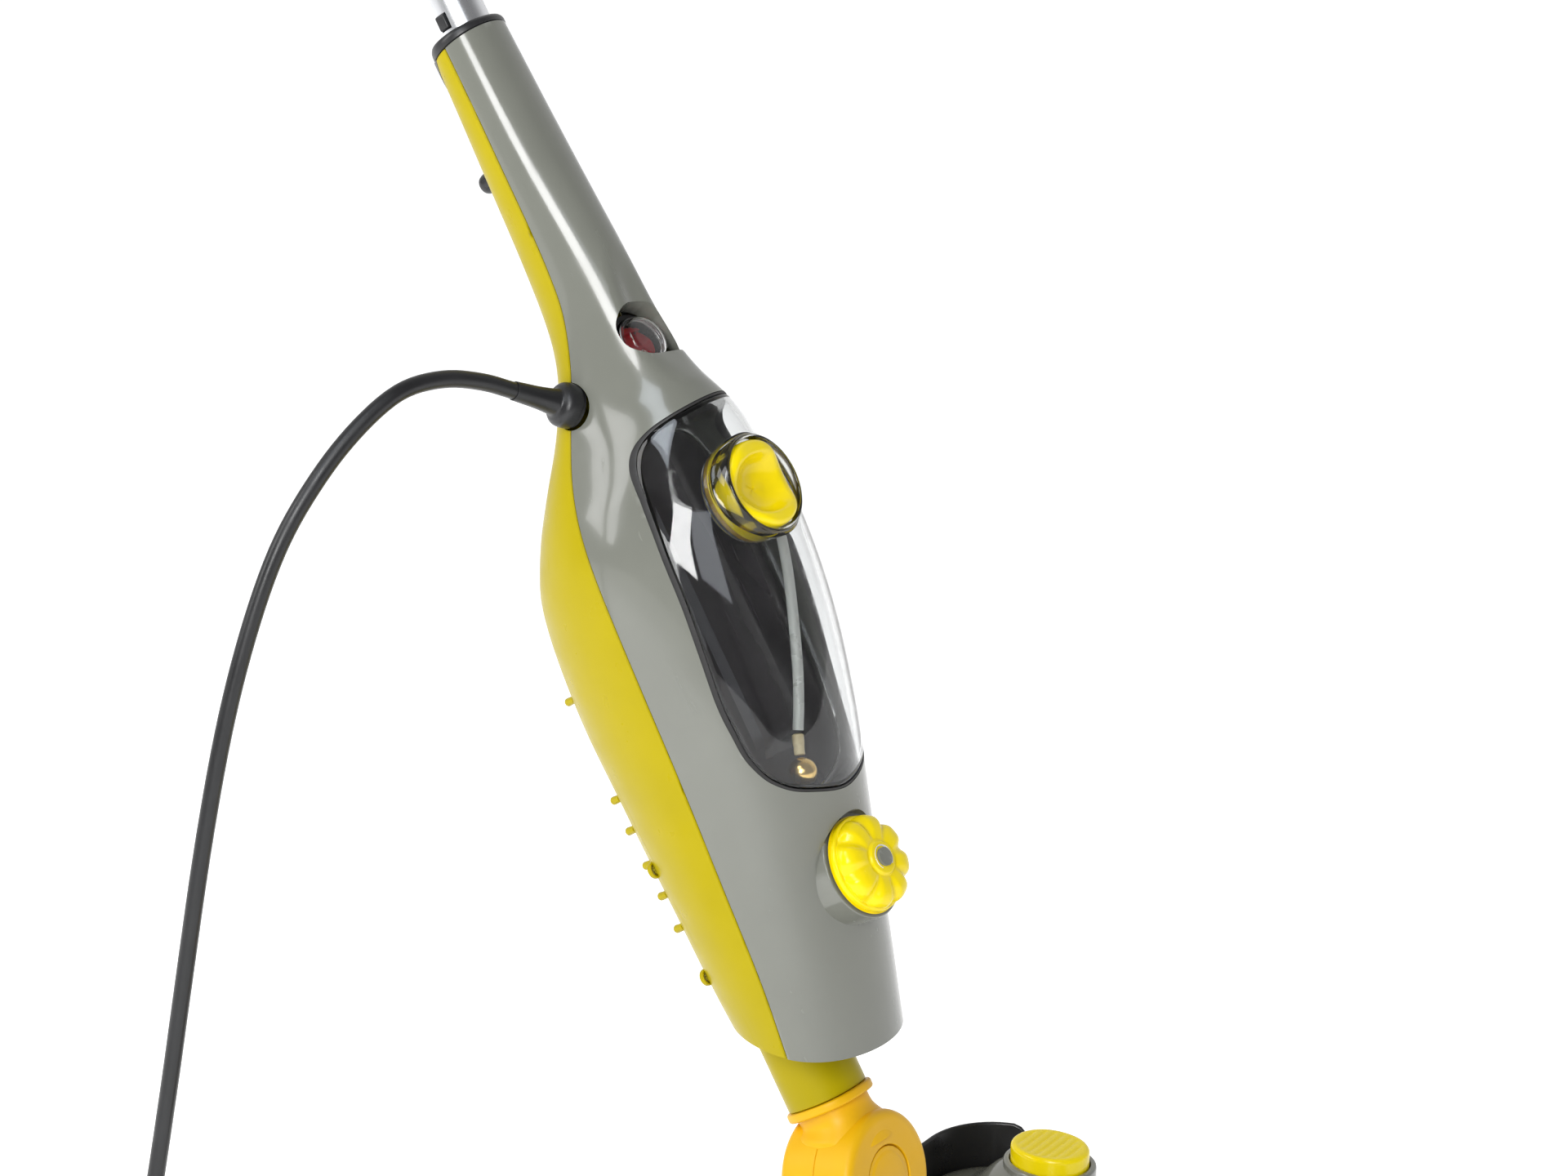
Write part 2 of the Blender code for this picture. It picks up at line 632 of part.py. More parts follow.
def switch():
    """Housing cup, rocker and clear dome on the tilted switch frame, whose Z leaves the face."""
    black = material("black_plastic", BLACK, 0.35)
    cup = rod("switch_housing", 15.6 * MM, 34 * MM, SWITCH, black, at=(0, 0, -17.5 * MM))
    bm = core_of(330 * MM, 450 * MM, WALL + 1.6 * MM)
    boolean(cup, link("housing_limit", mesh_of("housing_limit", bm), BODY, None), "INTERSECT")
    boolean(cup, rod("cup_hollow", 13.2 * MM, 40 * MM, SWITCH, None, at=(0, 0, -15.5 * MM)))
    dome = [(0, 2.4), (9.4, 1.8), (11.2, 0.4), (11.6, -3.0), (12.8, -3.2), (12.8, -4.2), (10.6, -4.2),
            (10.2, -0.2), (8.8, 0.6), (0, 1.2)]
    turned("switch_dome", dome, SWITCH, material("clear_dome", (0.8, 0.82, 0.82), 0.03, 0.0, 0.3))
    rocker = rod("power_rocker", 9.8 * MM, 7 * MM, ROCKER, material("red", (0.45, 0.01, 0.02), 0.25),
                 at=(0, 0, -3.5 * MM), sides=32)
    for n, side in enumerate((-1, 1)):
        boolean(rocker, block(f"rocker_slope_{n}", (30 * MM, 30 * MM, 6 * MM), ROCKER, None,
                              at=(side * 8 * MM, 0, 5.2 * MM), turn=(0, side * math.radians(-7), 0)))


def inner_works():
    steel = material("steel", STEEL, 0.3, 1.0)
    brass = material("brass", (0.72, 0.5, 0.22), 0.35, 1.0)
    dark = material("dark_plastic", BLACK, 0.5)
    turned("boiler", [(0, 265), (16, 265), (22, 259), (22, 176), (16, 170), (0, 170)], BODY, steel,
           at=(24 * MM, 0, 0), steps=24)
    rod("thermostat", 8 * MM, 5 * MM, BODY, brass, sides=16, **facing(46.4 * MM, 215 * MM))
    turned("water_pump", [(0, 338), (13, 338), (15, 334), (15, 292), (10, 288), (0, 288)], BODY, dark,
           at=(48 * MM, 0, 0), steps=24)
    water = smooth_through([(45, 0, 287), (42, 0, 280), (32, 0, 274), (28, 0, 266)], 2)
    tube_along("water_pipe", [v * MM for v in water], 2.5 * MM, BODY, silicone())
    steam = smooth_through([(22, 0, 169.4), (20, 0, 150), (11, 0, 115), (6.5, 0, 90), (6.5, 0, 40)], 2)
    tube_along("steam_pipe", [v * MM for v in steam], 3 * MM, BODY, brass)


# ---- knuckle --------------------------------------------------------------------------------------


def connector():
    foot = 41 * MM - NECK_DROP
    outer = slab("connector_tube", oval(18.6 * MM, 18.9 * MM), CONNECTOR_TOP - foot, BODY,
                 material("lime_shell", LIME, 0.3), at=(CONNECTOR_DEPTH, 0, (foot + CONNECTOR_TOP) / 2))
    boolean(outer, slab("connector_bore", oval(15.8 * MM, 16.1 * MM), 80 * MM, BODY, None,
                        at=(CONNECTOR_DEPTH, 0, 72.5 * MM)))
    orange = material("joint_orange", ORANGE, 0.45)
    neck = slab("joint_neck", oval(16.6 * MM, 16.8 * MM), 36 * MM, BODY, orange,
                at=(6 * MM, 0, 19 * MM - NECK_DROP))
    boolean(neck, slab("neck_flange", oval(20.4 * MM, 20.6 * MM), 4.4 * MM, BODY, None,
                       at=(CONNECTOR_DEPTH, 0, NECK_FLANGE - NECK_DROP)), "UNION")
    clear = DISC_RADIUS + GAP
    boolean(neck, rod("disc_space", clear, 60 * MM, DISC, None, sides=48, at=(0, 0, -30 * MM)))
    boolean(neck, rod("neck_bore", 8 * MM, 90 * MM, BODY, None, sides=18,
                      at=(CONNECTOR_DEPTH, 0, -20 * MM)))


def knuckle():
    orange = material("joint_orange", ORANGE, 0.45)
    face = DISC_HALF / MM
    edge = DISC_RADIUS / MM
    profile = [(16.6, face), (edge - 2.2, face), (edge - 0.6, face - 0.8), (edge, face - 2.4), (edge, 0.15),
               (28.4, 0.15), (28.4, 14.5), (5.5, 14.5), (5.5, 17.3), (16.6, 17.3)]
    slot = slot_cutter()
    for name, turn in (("knuckle_front_shell", 0.0), ("knuckle_rear_shell", math.pi)):
        half = turned(name, profile, DISC, orange, turn=(turn, 0, 0), steps=26, closed=True)
        boolean(half, slot)
    cap = [(0, 20.6), (13.5, 20.4), (15.4, 20.0), (16.2, 19.2), (16.2, 17.7), (0, 17.7)]
    turned("front_pivot_cap", cap, DISC, orange, steps=24)
    turned("rear_pivot_cap", cap, DISC, orange, turn=(math.pi, 0, 0), steps=24)
    rod("roll_pin", PIN_HOLE - 0.4 * MM, 34.6 * MM, DISC, material("steel", STEEL, 0.3, 1.0), sides=24,
        at=(0, 0, -17.3 * MM))


def slot_cutter():
    """A wedge below the disc that lets the hub's leg swing inside the rim. Its faces stay off the discs."""
    reach, half = 60 * MM, math.radians(64)
    angles = [half * k / 4 for k in range(-4, 5)]
    outline = [(0, 0)] + [(reach * math.cos(angle), reach * math.sin(angle)) for angle in angles]
    return slab("leg_slot", outline, 21 * MM, DISC, None)


def yoke():
    """The hub inside the disc, its leg and the sleeve on the pitch axle."""
    orange = material("joint_orange", ORANGE, 0.45)
    hub = turned("yoke_hub", [(24, 9), (24, -9), (5.4, -9), (5.4, 9)], DISC, orange, steps=24, closed=True)
    leg = block("yoke_leg", (ARM - 8 * MM, 18 * MM, 17 * MM), DISC, None, at=((ARM + 8 * MM) / 2, 0, 0))
    boolean(hub, leg, "UNION")
    boolean(hub, rod("yoke_sleeve", 9 * MM, 28 * MM, DISC, None, sides=24, at=(ARM, 14 * MM, 0),
                     turn=(math.pi / 2, 0, 0)), "UNION")
    boolean(hub, rod("yoke_bore", AXLE_RADIUS + 0.4 * MM, 60 * MM, DISC, None, sides=24,
                     at=(ARM, 30 * MM, 0), turn=(math.pi / 2, 0, 0)))
    boolean(hub, rod("pin_way", PIN_HOLE, 60 * MM, DISC, None, sides=24, at=(0, 0, -30 * MM)))


# ---- floor head -----------------------------------------------------------------------------------


def head_outline(grow=0.0, detail=1):
    """Half of a rounded triangle by formula, mirrored: a straight back, round corners and a soft nose."""
    nose, half, back, corner = HEAD_FRONT + grow, HEAD_HALF + grow, HEAD_BACK - grow, CORNER + grow
    straight, bend, flank = 4 * (detail - 1), 4 * detail, 11 * detail
    side = [(back, (half - corner) * k / straight) for k in range(1, straight)]
    for k in range(bend + 1):
        angle = math.pi / 2 * k / bend
        side.append((back + corner - corner * math.cos(angle), half - corner + corner * math.sin(angle)))
    start = back + corner
    for k in range(1, flank + 1):
        u = math.sin(math.pi / 2 * k / flank)
        side.append((start + (nose - start) * u, half * (1 - u * u) ** 0.8))
    return side + [(x, -y) for x, y in side[-2::-1]]


def eased(share):
    """0 to 1 with a soft start and end."""
    share = min(1.0, max(0.0, share))
    return share * share * (3 - 2 * share)


def deck_rise(x, y):
    """How far the deck climbs towards a button's collar at a point of its plan."""
    away = math.hypot((x - BUTTON_AT[0]) / COLLAR_HALF[0], (abs(y) - BUTTON_AT[1]) / COLLAR_HALF[1])
    return DECK_RISE * eased((DECK_RISE_REACH - away) / (DECK_RISE_REACH - 1))


def head_deck():
    """Shell, open underneath, climbing to a collar around the opening at each button."""
    # distance in from the edge and height (mm), and the share of the climb
    rings = ((0, 12, 0), (0, 18, 0), (2, 21, 0.5), (6, 23.5, 1), (16, 25.6, 1), (32, 27.6, 1), (60, 29, 1))
    outline = head_outline(detail=2)
    bm = bmesh.new()
    rows = []
    for inset, height, climb in rings:
        share = 1 - inset * MM / HEAD_SPAN
        spots = [(HEAD_MIDDLE + (x - HEAD_MIDDLE) * share, y * share) for x, y in outline]
        rows.append([bm.verts.new((x, y, height * MM + climb * deck_rise(x, y))) for x, y in spots])
    for below, above in zip(rows, rows[1:]):
        for k in range(len(outline)):
            n = (k + 1) % len(outline)
            bm.faces.new((below[k], above[k], above[n], below[n]))
    bm.faces.new(rows[-1])
    deck = link("head_deck", mesh_of("head_deck", bm), None, material("grey_shell", GREY, 0.25))
    thick = deck.modifiers.new("Solidify", "SOLIDIFY")
    thick.thickness = WALL
    thick.offset = -1
    for side in (1, -1):
        name = "left" if side > 0 else "right"
        x, y = BUTTON_AT
        boolean(deck, slab(f"collar_{name}", oval(*COLLAR_HALF, 20, 2.1), COLLAR_RIM - 20 * MM, None, None,
                           at=(x, side * y, COLLAR_RIM / 2 + 10 * MM)), "UNION")
        boolean(deck, slab(f"collar_hole_{name}", oval(21.2 * MM, 17.7 * MM, 20, 2.1), 60 * MM, None, None,
                           at=(x, side * y, 31 * MM)))
    for n, side in enumerate((-1, 1)):
        boolean(deck, block(f"lug_way_{n}", (23 * MM, 9.4 * MM, 40 * MM), None, None,
                            at=(AXLE.x, side * LUG_SIDE, 30 * MM)))
    return deck


def rear_skirt(name, side):
    """A wall on the base plate round one rear corner, a loft that is highest behind the button."""
    foot = PLATE_TOP + GAP
    bm = bmesh.new()
    rows = []
    for (x, y), (inner_x, inner_y) in zip(head_outline(2.8 * MM, 2), head_outline(0.5 * MM, 2)):
        if y * side < 55 * MM or x > 16 * MM:
            continue
        along_back = eased((abs(y) - 55 * MM) / (65 * MM))
        along_flank = eased((16 * MM - x) / (26 * MM))
        top = 18 * MM + (REAR_WALL - 18 * MM) * along_back * along_flank
        rows.append([bm.verts.new(p) for p in ((x, y, foot), (x, y, top - MM), (inner_x, inner_y, top),
                                               (inner_x, inner_y, foot))])
    for here, after in zip(rows, rows[1:]):
        for k in range(4):
            n = (k + 1) % 4
            bm.faces.new((here[k], here[n], after[n], after[k]))
    bm.faces.new(rows[0])
    bm.faces.new(rows[-1])
    return link(name, mesh_of(name, bm), None, material("black_plastic", BLACK, 0.35))


def head_base():
    black = material("black_plastic", BLACK, 0.35)
    thickness = 5.6 * MM
    plate = slab("base_plate", head_outline(3 * MM), thickness, None, black,
                 at=(0, 0, PLATE_TOP - thickness / 2))
    soft = plate.modifiers.new("Bevel", "BEVEL")
    soft.width = 1.2 * MM
    soft.segments = 1
    slab("mop_pad", head_outline(5 * MM), 5.4 * MM, None, material("microfibre", (0.8, 0.8, 0.78), 0.95),
         at=(0, 0, 2.7 * MM))
    for name, side in (("left", 1), ("right", -1)):
        rear_skirt(f"rear_skirt_{name}", side)
        lug = block(f"axle_block_{name}", (22 * MM, 8 * MM, 26 * MM), None, black,
                    at=(AXLE.x, side * LUG_SIDE, 24.8 * MM))
        boolean(lug, rod(f"lug_top_{name}", 9 * MM, 8 * MM, None, None, sides=24,
                         at=(AXLE.x, side * LUG_SIDE + 4 * MM, AXLE.z), turn=(math.pi / 2, 0, 0)), "UNION")
        boolean(lug, rod(f"lug_bore_{name}", AXLE_RADIUS + GAP, 30 * MM, None, None, sides=24,
                         at=(AXLE.x, side * LUG_SIDE + 15 * MM, AXLE.z), turn=(math.pi / 2, 0, 0)))
        x, y = BUTTON_AT
        button = slab(f"clip_button_{name}", oval(*BUTTON_HALF, 20, 2.1), 30 * MM, None,
                      material("yellow", YELLOW, 0.25), at=(x, side * y, BUTTON_TOP - 15 * MM))
        round_top = button.modifiers.new("Bevel", "BEVEL")
        round_top.width = 1.6 * MM
        round_top.segments = 2
        round_top.angle_limit = math.radians(50)
        boolean(button, rod(f"button_hollow_{name}", 12 * MM, 24 * MM, None, None, sides=20,
                            at=(x, side * y, 20 * MM)))
        spring(f"clip_spring_{name}", 8 * MM, 0.8 * MM, 12.6 * MM, 37.4 * MM, 4, (x, side * y, 0))
    rod("pitch_axle", AXLE_RADIUS, 50 * MM, None, material("steel", STEEL, 0.3, 1.0), sides=24,
        at=(AXLE.x, 25 * MM, AXLE.z), turn=(math.pi / 2, 0, 0))


def spring(name, radius, wire, low, high, turns, at):
    points = []
    for k in range(turns * 8 + 1):
        angle = 2 * math.pi * k / 8
        height = low + (high - low) * k / (turns * 8)
        points.append((at[0] + radius * math.cos(angle), at[1] + radius * math.sin(angle), at[2] + height))
    tube_along(name, points, wire, None, material("steel", STEEL, 0.3, 1.0), resolution=0)


# ---- handle ---------------------------------------------------------------------------------------


def handle():
    black = material("black_plastic", BLACK, 0.35)
    outer = TUBE_RADIUS / MM
    tube = sleeve("handle_tube", outer, outer - TUBE_WALL / MM, TUBE_FOOT / MM, GRIP_FOOT / MM + 60, BODY,
                  material("aluminium", (0.78, 0.79, 0.80), 0.3, 1.0), at=(TUBE_DEPTH, 0, 0), steps=28)
    boolean(tube, block("catch_window", (30 * MM, 6.4 * MM, 7.8 * MM), CATCH, None, at=(-15 * MM, 0, 0)))
    block("tube_catch", (6 * MM, 5.6 * MM, 7.0 * MM), CATCH, black, at=(-11.2 * MM, 0, 0), bevel=0.5 * MM)
    grip_low, grip_high, grip = GRIP_FOOT / MM, GRIP_TOP / MM, GRIP_RADIUS / MM
    grip_profile = [(12, grip_high), (grip - 1, grip_high), (grip, grip_high - 14),
                    (grip - 1.2, grip_high - 60), (grip - 0.4, grip_high - 120),
                    (grip - 1.5, grip_low + 20), (grip - 2.5, grip_low), (outer + 0.3, grip_low),
                    (outer + 0.3, grip_low + 60.3), (12, grip_low + 60.3)]
    turned("handle_grip", grip_profile, BODY, material("soft_grip", BLACK, 0.8), at=(TUBE_DEPTH, 0, 0),
           steps=20, closed=True)
    cap_profile = [(0, grip_high + 10), (8, grip_high + 8.6), (13.6, grip_high + 5), (16, grip_high + 0.3),
                   (11.6, grip_high + 0.3), (11.6, grip_high - 12), (0, grip_high - 12)]
    turned("grip_end_cap", cap_profile, BODY, material("lime_shell", LIME, 0.3), at=(TUBE_DEPTH, 0, 0),
           steps=20)
    for name, height, up in (("lower_cord_hook", LOWER_HOOK, -1), ("upper_cord_hook", UPPER_HOOK, 1)):
        cord_hook(name, height, up, black)


def cord_hook(name, height, up, finish):
    """A collar on the tube with an open hook at the back, its mouth away from the other hook."""
    hook = sleeve(name, TUBE_RADIUS / MM + 3.4, TUBE_RADIUS / MM + 0.3, -9, 9, BODY, finish,
                  at=(TUBE_DEPTH, 0, height), steps=20)
    reach = 34 * MM
    foot = TUBE_DEPTH - TUBE_RADIUS - 0.8 * MM
    arm = block(name + "_arm", (reach, 14 * MM, 5 * MM), BODY, None,
                at=(foot - reach / 2, 0, height - up * 6 * MM))
    tip = block(name + "_tip", (5 * MM, 14 * MM, 26 * MM), BODY, None,
                at=(foot - reach + 2 * MM, 0, height + up * 4 * MM))
    boolean(hook, arm, "UNION")
    boolean(hook, tip, "UNION")


# ---- cord -----------------------------------------------------------------------------------------


def cord():
    black = material("cord_black", (0.01, 0.01, 0.01), 0.5)
    profile = [(0, GLAND_LENGTH / MM), (4.7, GLAND_LENGTH / MM), (5.3, 18), (6.4, 8.4), (8.8, 7.4),
               (10.3, 4.6), (10.3, -1.6), (0, -1.6)]
    turned("cord_gland", profile, GLAND, black, steps=16)
    start = GLAND.matrix_world.translation
    route = [start + gland_axis() * (GLAND_LENGTH + GAP)]
    route += [start + CORD_EXIT_SIDE * (out * MM) + Vector((0, 0, rise * MM)) for out, rise in CORD_DROP]
    points = smooth_through(route, 2)
    points = [p for p in points if (p - start).to_2d().length < CORD_LANDS - 34 * MM]
    tube_along("power_cord", points, CORD_RADIUS, None, black)
    centre = coil_centre()
    ring = COIL_RADIUS / MM + 4
    hole = COIL_HOLE / MM
    top = COIL_HEIGHT / MM
    profile = [(hole + 3, top), (ring - 3, top), (ring, top - 3), (ring, 3), (ring - 3, 0), (hole + 3, 0),
               (hole, 3), (hole, top - 3)]
    turned("cord_coil", profile, None, black, at=centre, steps=20, closed=True)
    plug = block("mains_plug", (44 * MM, 24 * MM, 24 * MM), None, black, bevel=4 * MM,
                 at=centre + PLUG_AT, turn=(0, 0, PLUG_TURN))
    for n, side in enumerate((-1, 1)):
        boolean(plug, rod(f"plug_prong_{n}", 2.4 * MM, 24 * MM, None, None, sides=12,
                          at=centre + PLUG_AT + Vector((20 * MM, 4 * MM + side * 6 * MM, 0)),
                          turn=(0, math.pi / 2, PLUG_TURN)), "UNION")


def gland_axis():
    return (CORD_EXIT_SIDE * math.cos(GLAND_RISE) + Vector((0, 0, math.sin(GLAND_RISE)))).normalized()


def coil_centre():
    """The coil lies to the right of the landing cord, which runs into its outer turn."""
    lands = GLAND.matrix_world.translation + CORD_EXIT_SIDE * CORD_LANDS
    right = Vector((CORD_EXIT_SIDE.y, -CORD_EXIT_SIDE.x, 0))
    return Vector((lands.x, lands.y, 0)) + right * COIL_RADIUS


clear_scene()
PARTS = collection("steam_mop")
CUTTERS = collection("cutters")
BODY = frame_at("body_frame", (-NECK_DROP * math.sin(LEAN), 0, KNUCKLE_Z + NECK_DROP * math.cos(LEAN)),
                (0, -LEAN, 0))
DISC = frame_at("disc_frame", (0, 0, -NECK_DROP), (0, math.pi / 2 + DISC_TILT, 0), BODY)
SWITCH = frame_at("switch_frame", (SWITCH_DEPTH, 0, SWITCH_HEIGHT), (0, math.pi / 2 - SWITCH_TILT, 0), BODY)
ROCKER = frame_at("rocker_frame", (0, 0, -8.5 * MM), (0, -ROCKER_TILT, 0), SWITCH)
CATCH = frame_at("catch_frame", (TUBE_DEPTH, 0, CATCH_HEIGHT), (0, 0, CATCH_TURN), BODY)
GLAND = frame_at("gland_frame", (0, 0, 0))
bpy.context.view_layer.update()
GLAND.matrix_world = (Matrix.Translation(BODY.matrix_world @ Vector(GLAND_AT))
                      @ gland_axis().to_track_quat("Z", "X").to_matrix().to_4x4())
bpy.context.view_layer.update()
AXLE = DISC.matrix_world @ Vector((ARM, 0, 0))

front_cover()
back_cover()
screws()
bottom_plate()
neck_collar()
release_button()
steam_knob()
water_tank()
tank_trim()
switch()
inner_works()
connector()
knuckle()
yoke()
head_deck()
head_base()
handle()
cord()
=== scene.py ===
"""Looks of the steam mop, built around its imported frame. Metres, +Z up, lengths below in mm.

The mop leans back from its knuckle. Its body has a frame of its own, whose Z runs up the handle and
whose X is the body's front, so most points below are (depth, side, height) in that frame.
"""

import math

import bmesh
import bpy
import numpy as np
from mathutils import Euler, Matrix, Vector


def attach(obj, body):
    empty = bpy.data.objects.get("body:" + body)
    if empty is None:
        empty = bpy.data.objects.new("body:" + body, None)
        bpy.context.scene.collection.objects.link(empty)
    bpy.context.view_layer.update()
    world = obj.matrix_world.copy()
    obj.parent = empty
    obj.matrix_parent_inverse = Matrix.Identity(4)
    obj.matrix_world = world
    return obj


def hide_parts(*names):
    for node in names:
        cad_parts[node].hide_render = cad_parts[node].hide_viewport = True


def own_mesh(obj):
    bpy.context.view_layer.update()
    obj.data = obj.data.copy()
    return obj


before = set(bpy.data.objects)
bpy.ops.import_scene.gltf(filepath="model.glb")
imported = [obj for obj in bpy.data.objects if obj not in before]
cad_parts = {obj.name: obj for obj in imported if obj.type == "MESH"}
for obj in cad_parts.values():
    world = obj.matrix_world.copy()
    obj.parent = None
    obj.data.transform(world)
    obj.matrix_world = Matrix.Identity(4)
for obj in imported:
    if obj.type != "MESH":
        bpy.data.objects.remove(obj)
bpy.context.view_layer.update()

MM = 0.001
LEAN = math.radians(31)
DISC_TILT = math.radians(17)
NECK_DROP = 4.5
KNUCKLE_Z = 85.0
ARM = 47.0
NECK_DEPTH = 6.5
TURN = 2 * math.pi

# Body stations: height, seam depth, front depth, back depth, half width
STATIONS = (
    (40, 23, 48, -10, 37), (60, 27, 56, -13.5, 39), (100, 36, 71, -18, 43), (150, 44, 89, -19, 48),
    (200, 51, 109, -20, 52), (250, 56, 123, -20, 55), (300, 59, 128.5, -12, 55), (325, 58, 126.5, 2, 49),
    (346, 58, 125.6, 18.6, 40), (369, 62.5, 116.5, 37.5, 30), (395, 73, 110.6, 51.7, 24),
    (425, 80, 107.8, 56, 20.5), (500, 81.5, 101, 60, 20), (560, 80, 97.5, 62.5, 19),
)
WALL = 2.4
SEAM_GAP = 0.22
RIM_HEIGHT, RIM_DEPTH = 50.0, 53.0
TUBE_DEPTH, TUBE_RADIUS = 81.0, 12.75
TUBE_FOOT, TUBE_TOP = 470.0, 945.0
NECK_TOP, NECK_SLANT = 549.5, 0.18
COLLAR_TOP, COLLAR_SLANT = 554.5, 0.1
GRIP_FOOT, GRIP_TOP = 885.0, 1095.0
LOWER_HOOK, UPPER_HOOK = 640.0, 850.0
KNOB_HEIGHT, KNOB_BACK, KNOB_SEAT = 131.0, 86.0, 66.0
CAP_HEIGHT = 307.6
SWITCH_DEPTH, SWITCH_HEIGHT, SWITCH_TILT = 101.5, 391.0, math.radians(8)
FLAT_MIDDLE, FLAT_REACH, FLAT_DEPTH = 399.0, 42.0, 7.0  # the nearly flat face around the switch
LINING_FOOT = -6.0
RELEASE_HEIGHT, CATCH_HEIGHT = 490.0, 561.5
BUTTON_AT, BUTTON_TOP = (28.0, 134.0), 55.0
PLATE_FOOT, PLATE_TOP, LUG_SIDE = 5.9, 11.4, 20.0
HEAD_MIDDLE, HEAD_SPAN = 42.0, 105.0
COLLAR_HALF, COLLAR_RIM = (24.0, 20.5), 46.0
DECK_RISE, DECK_RISE_REACH, REAR_WALL = 15.0, 1.9, 44.0
PEG_HEIGHTS, PEG_SIDE = (138, 155, 171, 189, 205, 256), 27.0
SCREWS = ((522, 0), (454, 0), (168, 33), (168, -33), (112, 27), (112, -27))

# The tank window's outline as height and half width, bottom to top
WINDOW = ((167, 0), (173, 23), (182, 35), (195, 41.5), (210, 44.5), (230, 46.8), (265, 47.8),
          (300, 47.4), (325, 42.4), (340, 37.4), (349, 31), (353, 21), (354.6, 0))

# Cord
CORD_DIAMETER, CORD_LENGTH = 8.0, 5.0
GLAND_AT, GLAND_HOLE = Vector((66, -27.6, 377)), 10.8
EXIT_SIDE = Vector((-0.361, -0.932, 0)).normalized()
GLAND_LENGTH, GLAND_RISE = 32.0, math.radians(22)
CORD_DROP = ((46, 18.5), (66, 22.5), (88, 19.5), (111, 4.5), (132, -17), (150, -43), (166, -79),
             (180, -122), (193, -175), (205, -233), (217, -292), (230, -349), (247, -398), (270, -430),
             (296, -440.8))  # out from the gland and up
CORD_LANDS, COIL_RADIUS, COIL_HEIGHT = 318.0, 60.0, 32.0


def placed(location, turn=(0, 0, 0), parent=None):
    """A frame: location in mm and rotation, within another."""
    local = Matrix.Translation(Vector(location) * MM) @ Euler(turn).to_matrix().to_4x4()
    return parent @ local if parent else local


BODY = placed((-NECK_DROP * math.sin(LEAN), 0, KNUCKLE_Z + NECK_DROP * math.cos(LEAN)), (0, -LEAN, 0))
DISC = placed((0, 0, -NECK_DROP), (0, math.pi / 2 + DISC_TILT, 0), BODY)
SWITCH = placed((SWITCH_DEPTH, 0, SWITCH_HEIGHT), (0, math.pi / 2 - SWITCH_TILT, 0), BODY)
ROCKER = placed((0, 0, -8.5), (0, math.radians(-10), 0), SWITCH)
CATCH = placed((TUBE_DEPTH, 0, CATCH_HEIGHT), (0, 0, math.radians(90)), BODY)
GLAND_AXIS = EXIT_SIDE * math.cos(GLAND_RISE) + Vector((0, 0, math.sin(GLAND_RISE)))
GLAND_POINT = BODY @ (GLAND_AT * MM)
GLAND = Matrix.Translation(GLAND_POINT) @ GLAND_AXIS.to_track_quat("Z", "X").to_matrix().to_4x4()
WORLD = Matrix.Identity(4)
AXLE = (DISC @ Vector((ARM * MM, 0, 0))) / MM


def facing(depth, height, side=0.0):
    """Turns a shape's Z out of the body's front, at that point, in mm."""
    return Matrix.Translation((depth, side, height)) @ Matrix.Rotation(math.pi / 2, 4, "Y")


def backing(depth, height, side=0.0):
    return Matrix.Translation((depth, side, height)) @ Matrix.Rotation(-math.pi / 2, 4, "Y")


# ---- materials ------------------------------------------------------------------------------------


def add(tree, kind, inputs=None, **settings):
    """A shader node. An input is a value, or the socket that feeds it."""
    node = tree.nodes.new(kind)
    for key, value in settings.items():
        setattr(node, key, value)
    for key, value in (inputs or {}).items():
        if isinstance(value, bpy.types.NodeSocket):
            tree.links.new(value, node.inputs[key])
        else:
            node.inputs[key].default_value = value
    return node


def noise(tree, scale, detail=3.0, stretch=(1, 1, 1)):
    """Noise in the piece's own space, scale in features a metre, stretched along an axis."""
    place = add(tree, "ShaderNodeTexCoord").outputs["Object"]
    place = add(tree, "ShaderNodeMapping", {"Vector": place, "Scale": stretch}).outputs["Vector"]
    return add(tree, "ShaderNodeTexNoise", {"Vector": place, "Scale": scale, "Detail": detail}).outputs["Fac"]


def ramp(tree, value, low, high, near=0.3, far=0.7):
    node = add(tree, "ShaderNodeValToRGB", {"Fac": value})
    node.color_ramp.elements[0].position = near
    node.color_ramp.elements[1].position = far
    node.color_ramp.elements[0].color = (*low, 1)
    node.color_ramp.elements[1].color = (*high, 1)
    return node.outputs["Color"]


def spread(tree, value, low, high, near=0.3, far=0.7):
    inputs = {"Value": value, "From Min": near, "From Max": far, "To Min": low, "To Max": high}
    return add(tree, "ShaderNodeMapRange", inputs).outputs["Result"]


def bumped(tree, shader, heights):
    """Stacks bumps on the shader. Each is a height socket and its depth in mm."""
    normal = None
    for height, depth in heights:
        inputs = {"Height": height, "Distance": depth * MM, "Strength": 1.0}
        if normal:
            inputs["Normal"] = normal
        normal = add(tree, "ShaderNodeBump", inputs).outputs["Normal"]
    if normal:
        tree.links.new(normal, shader.inputs["Normal"])


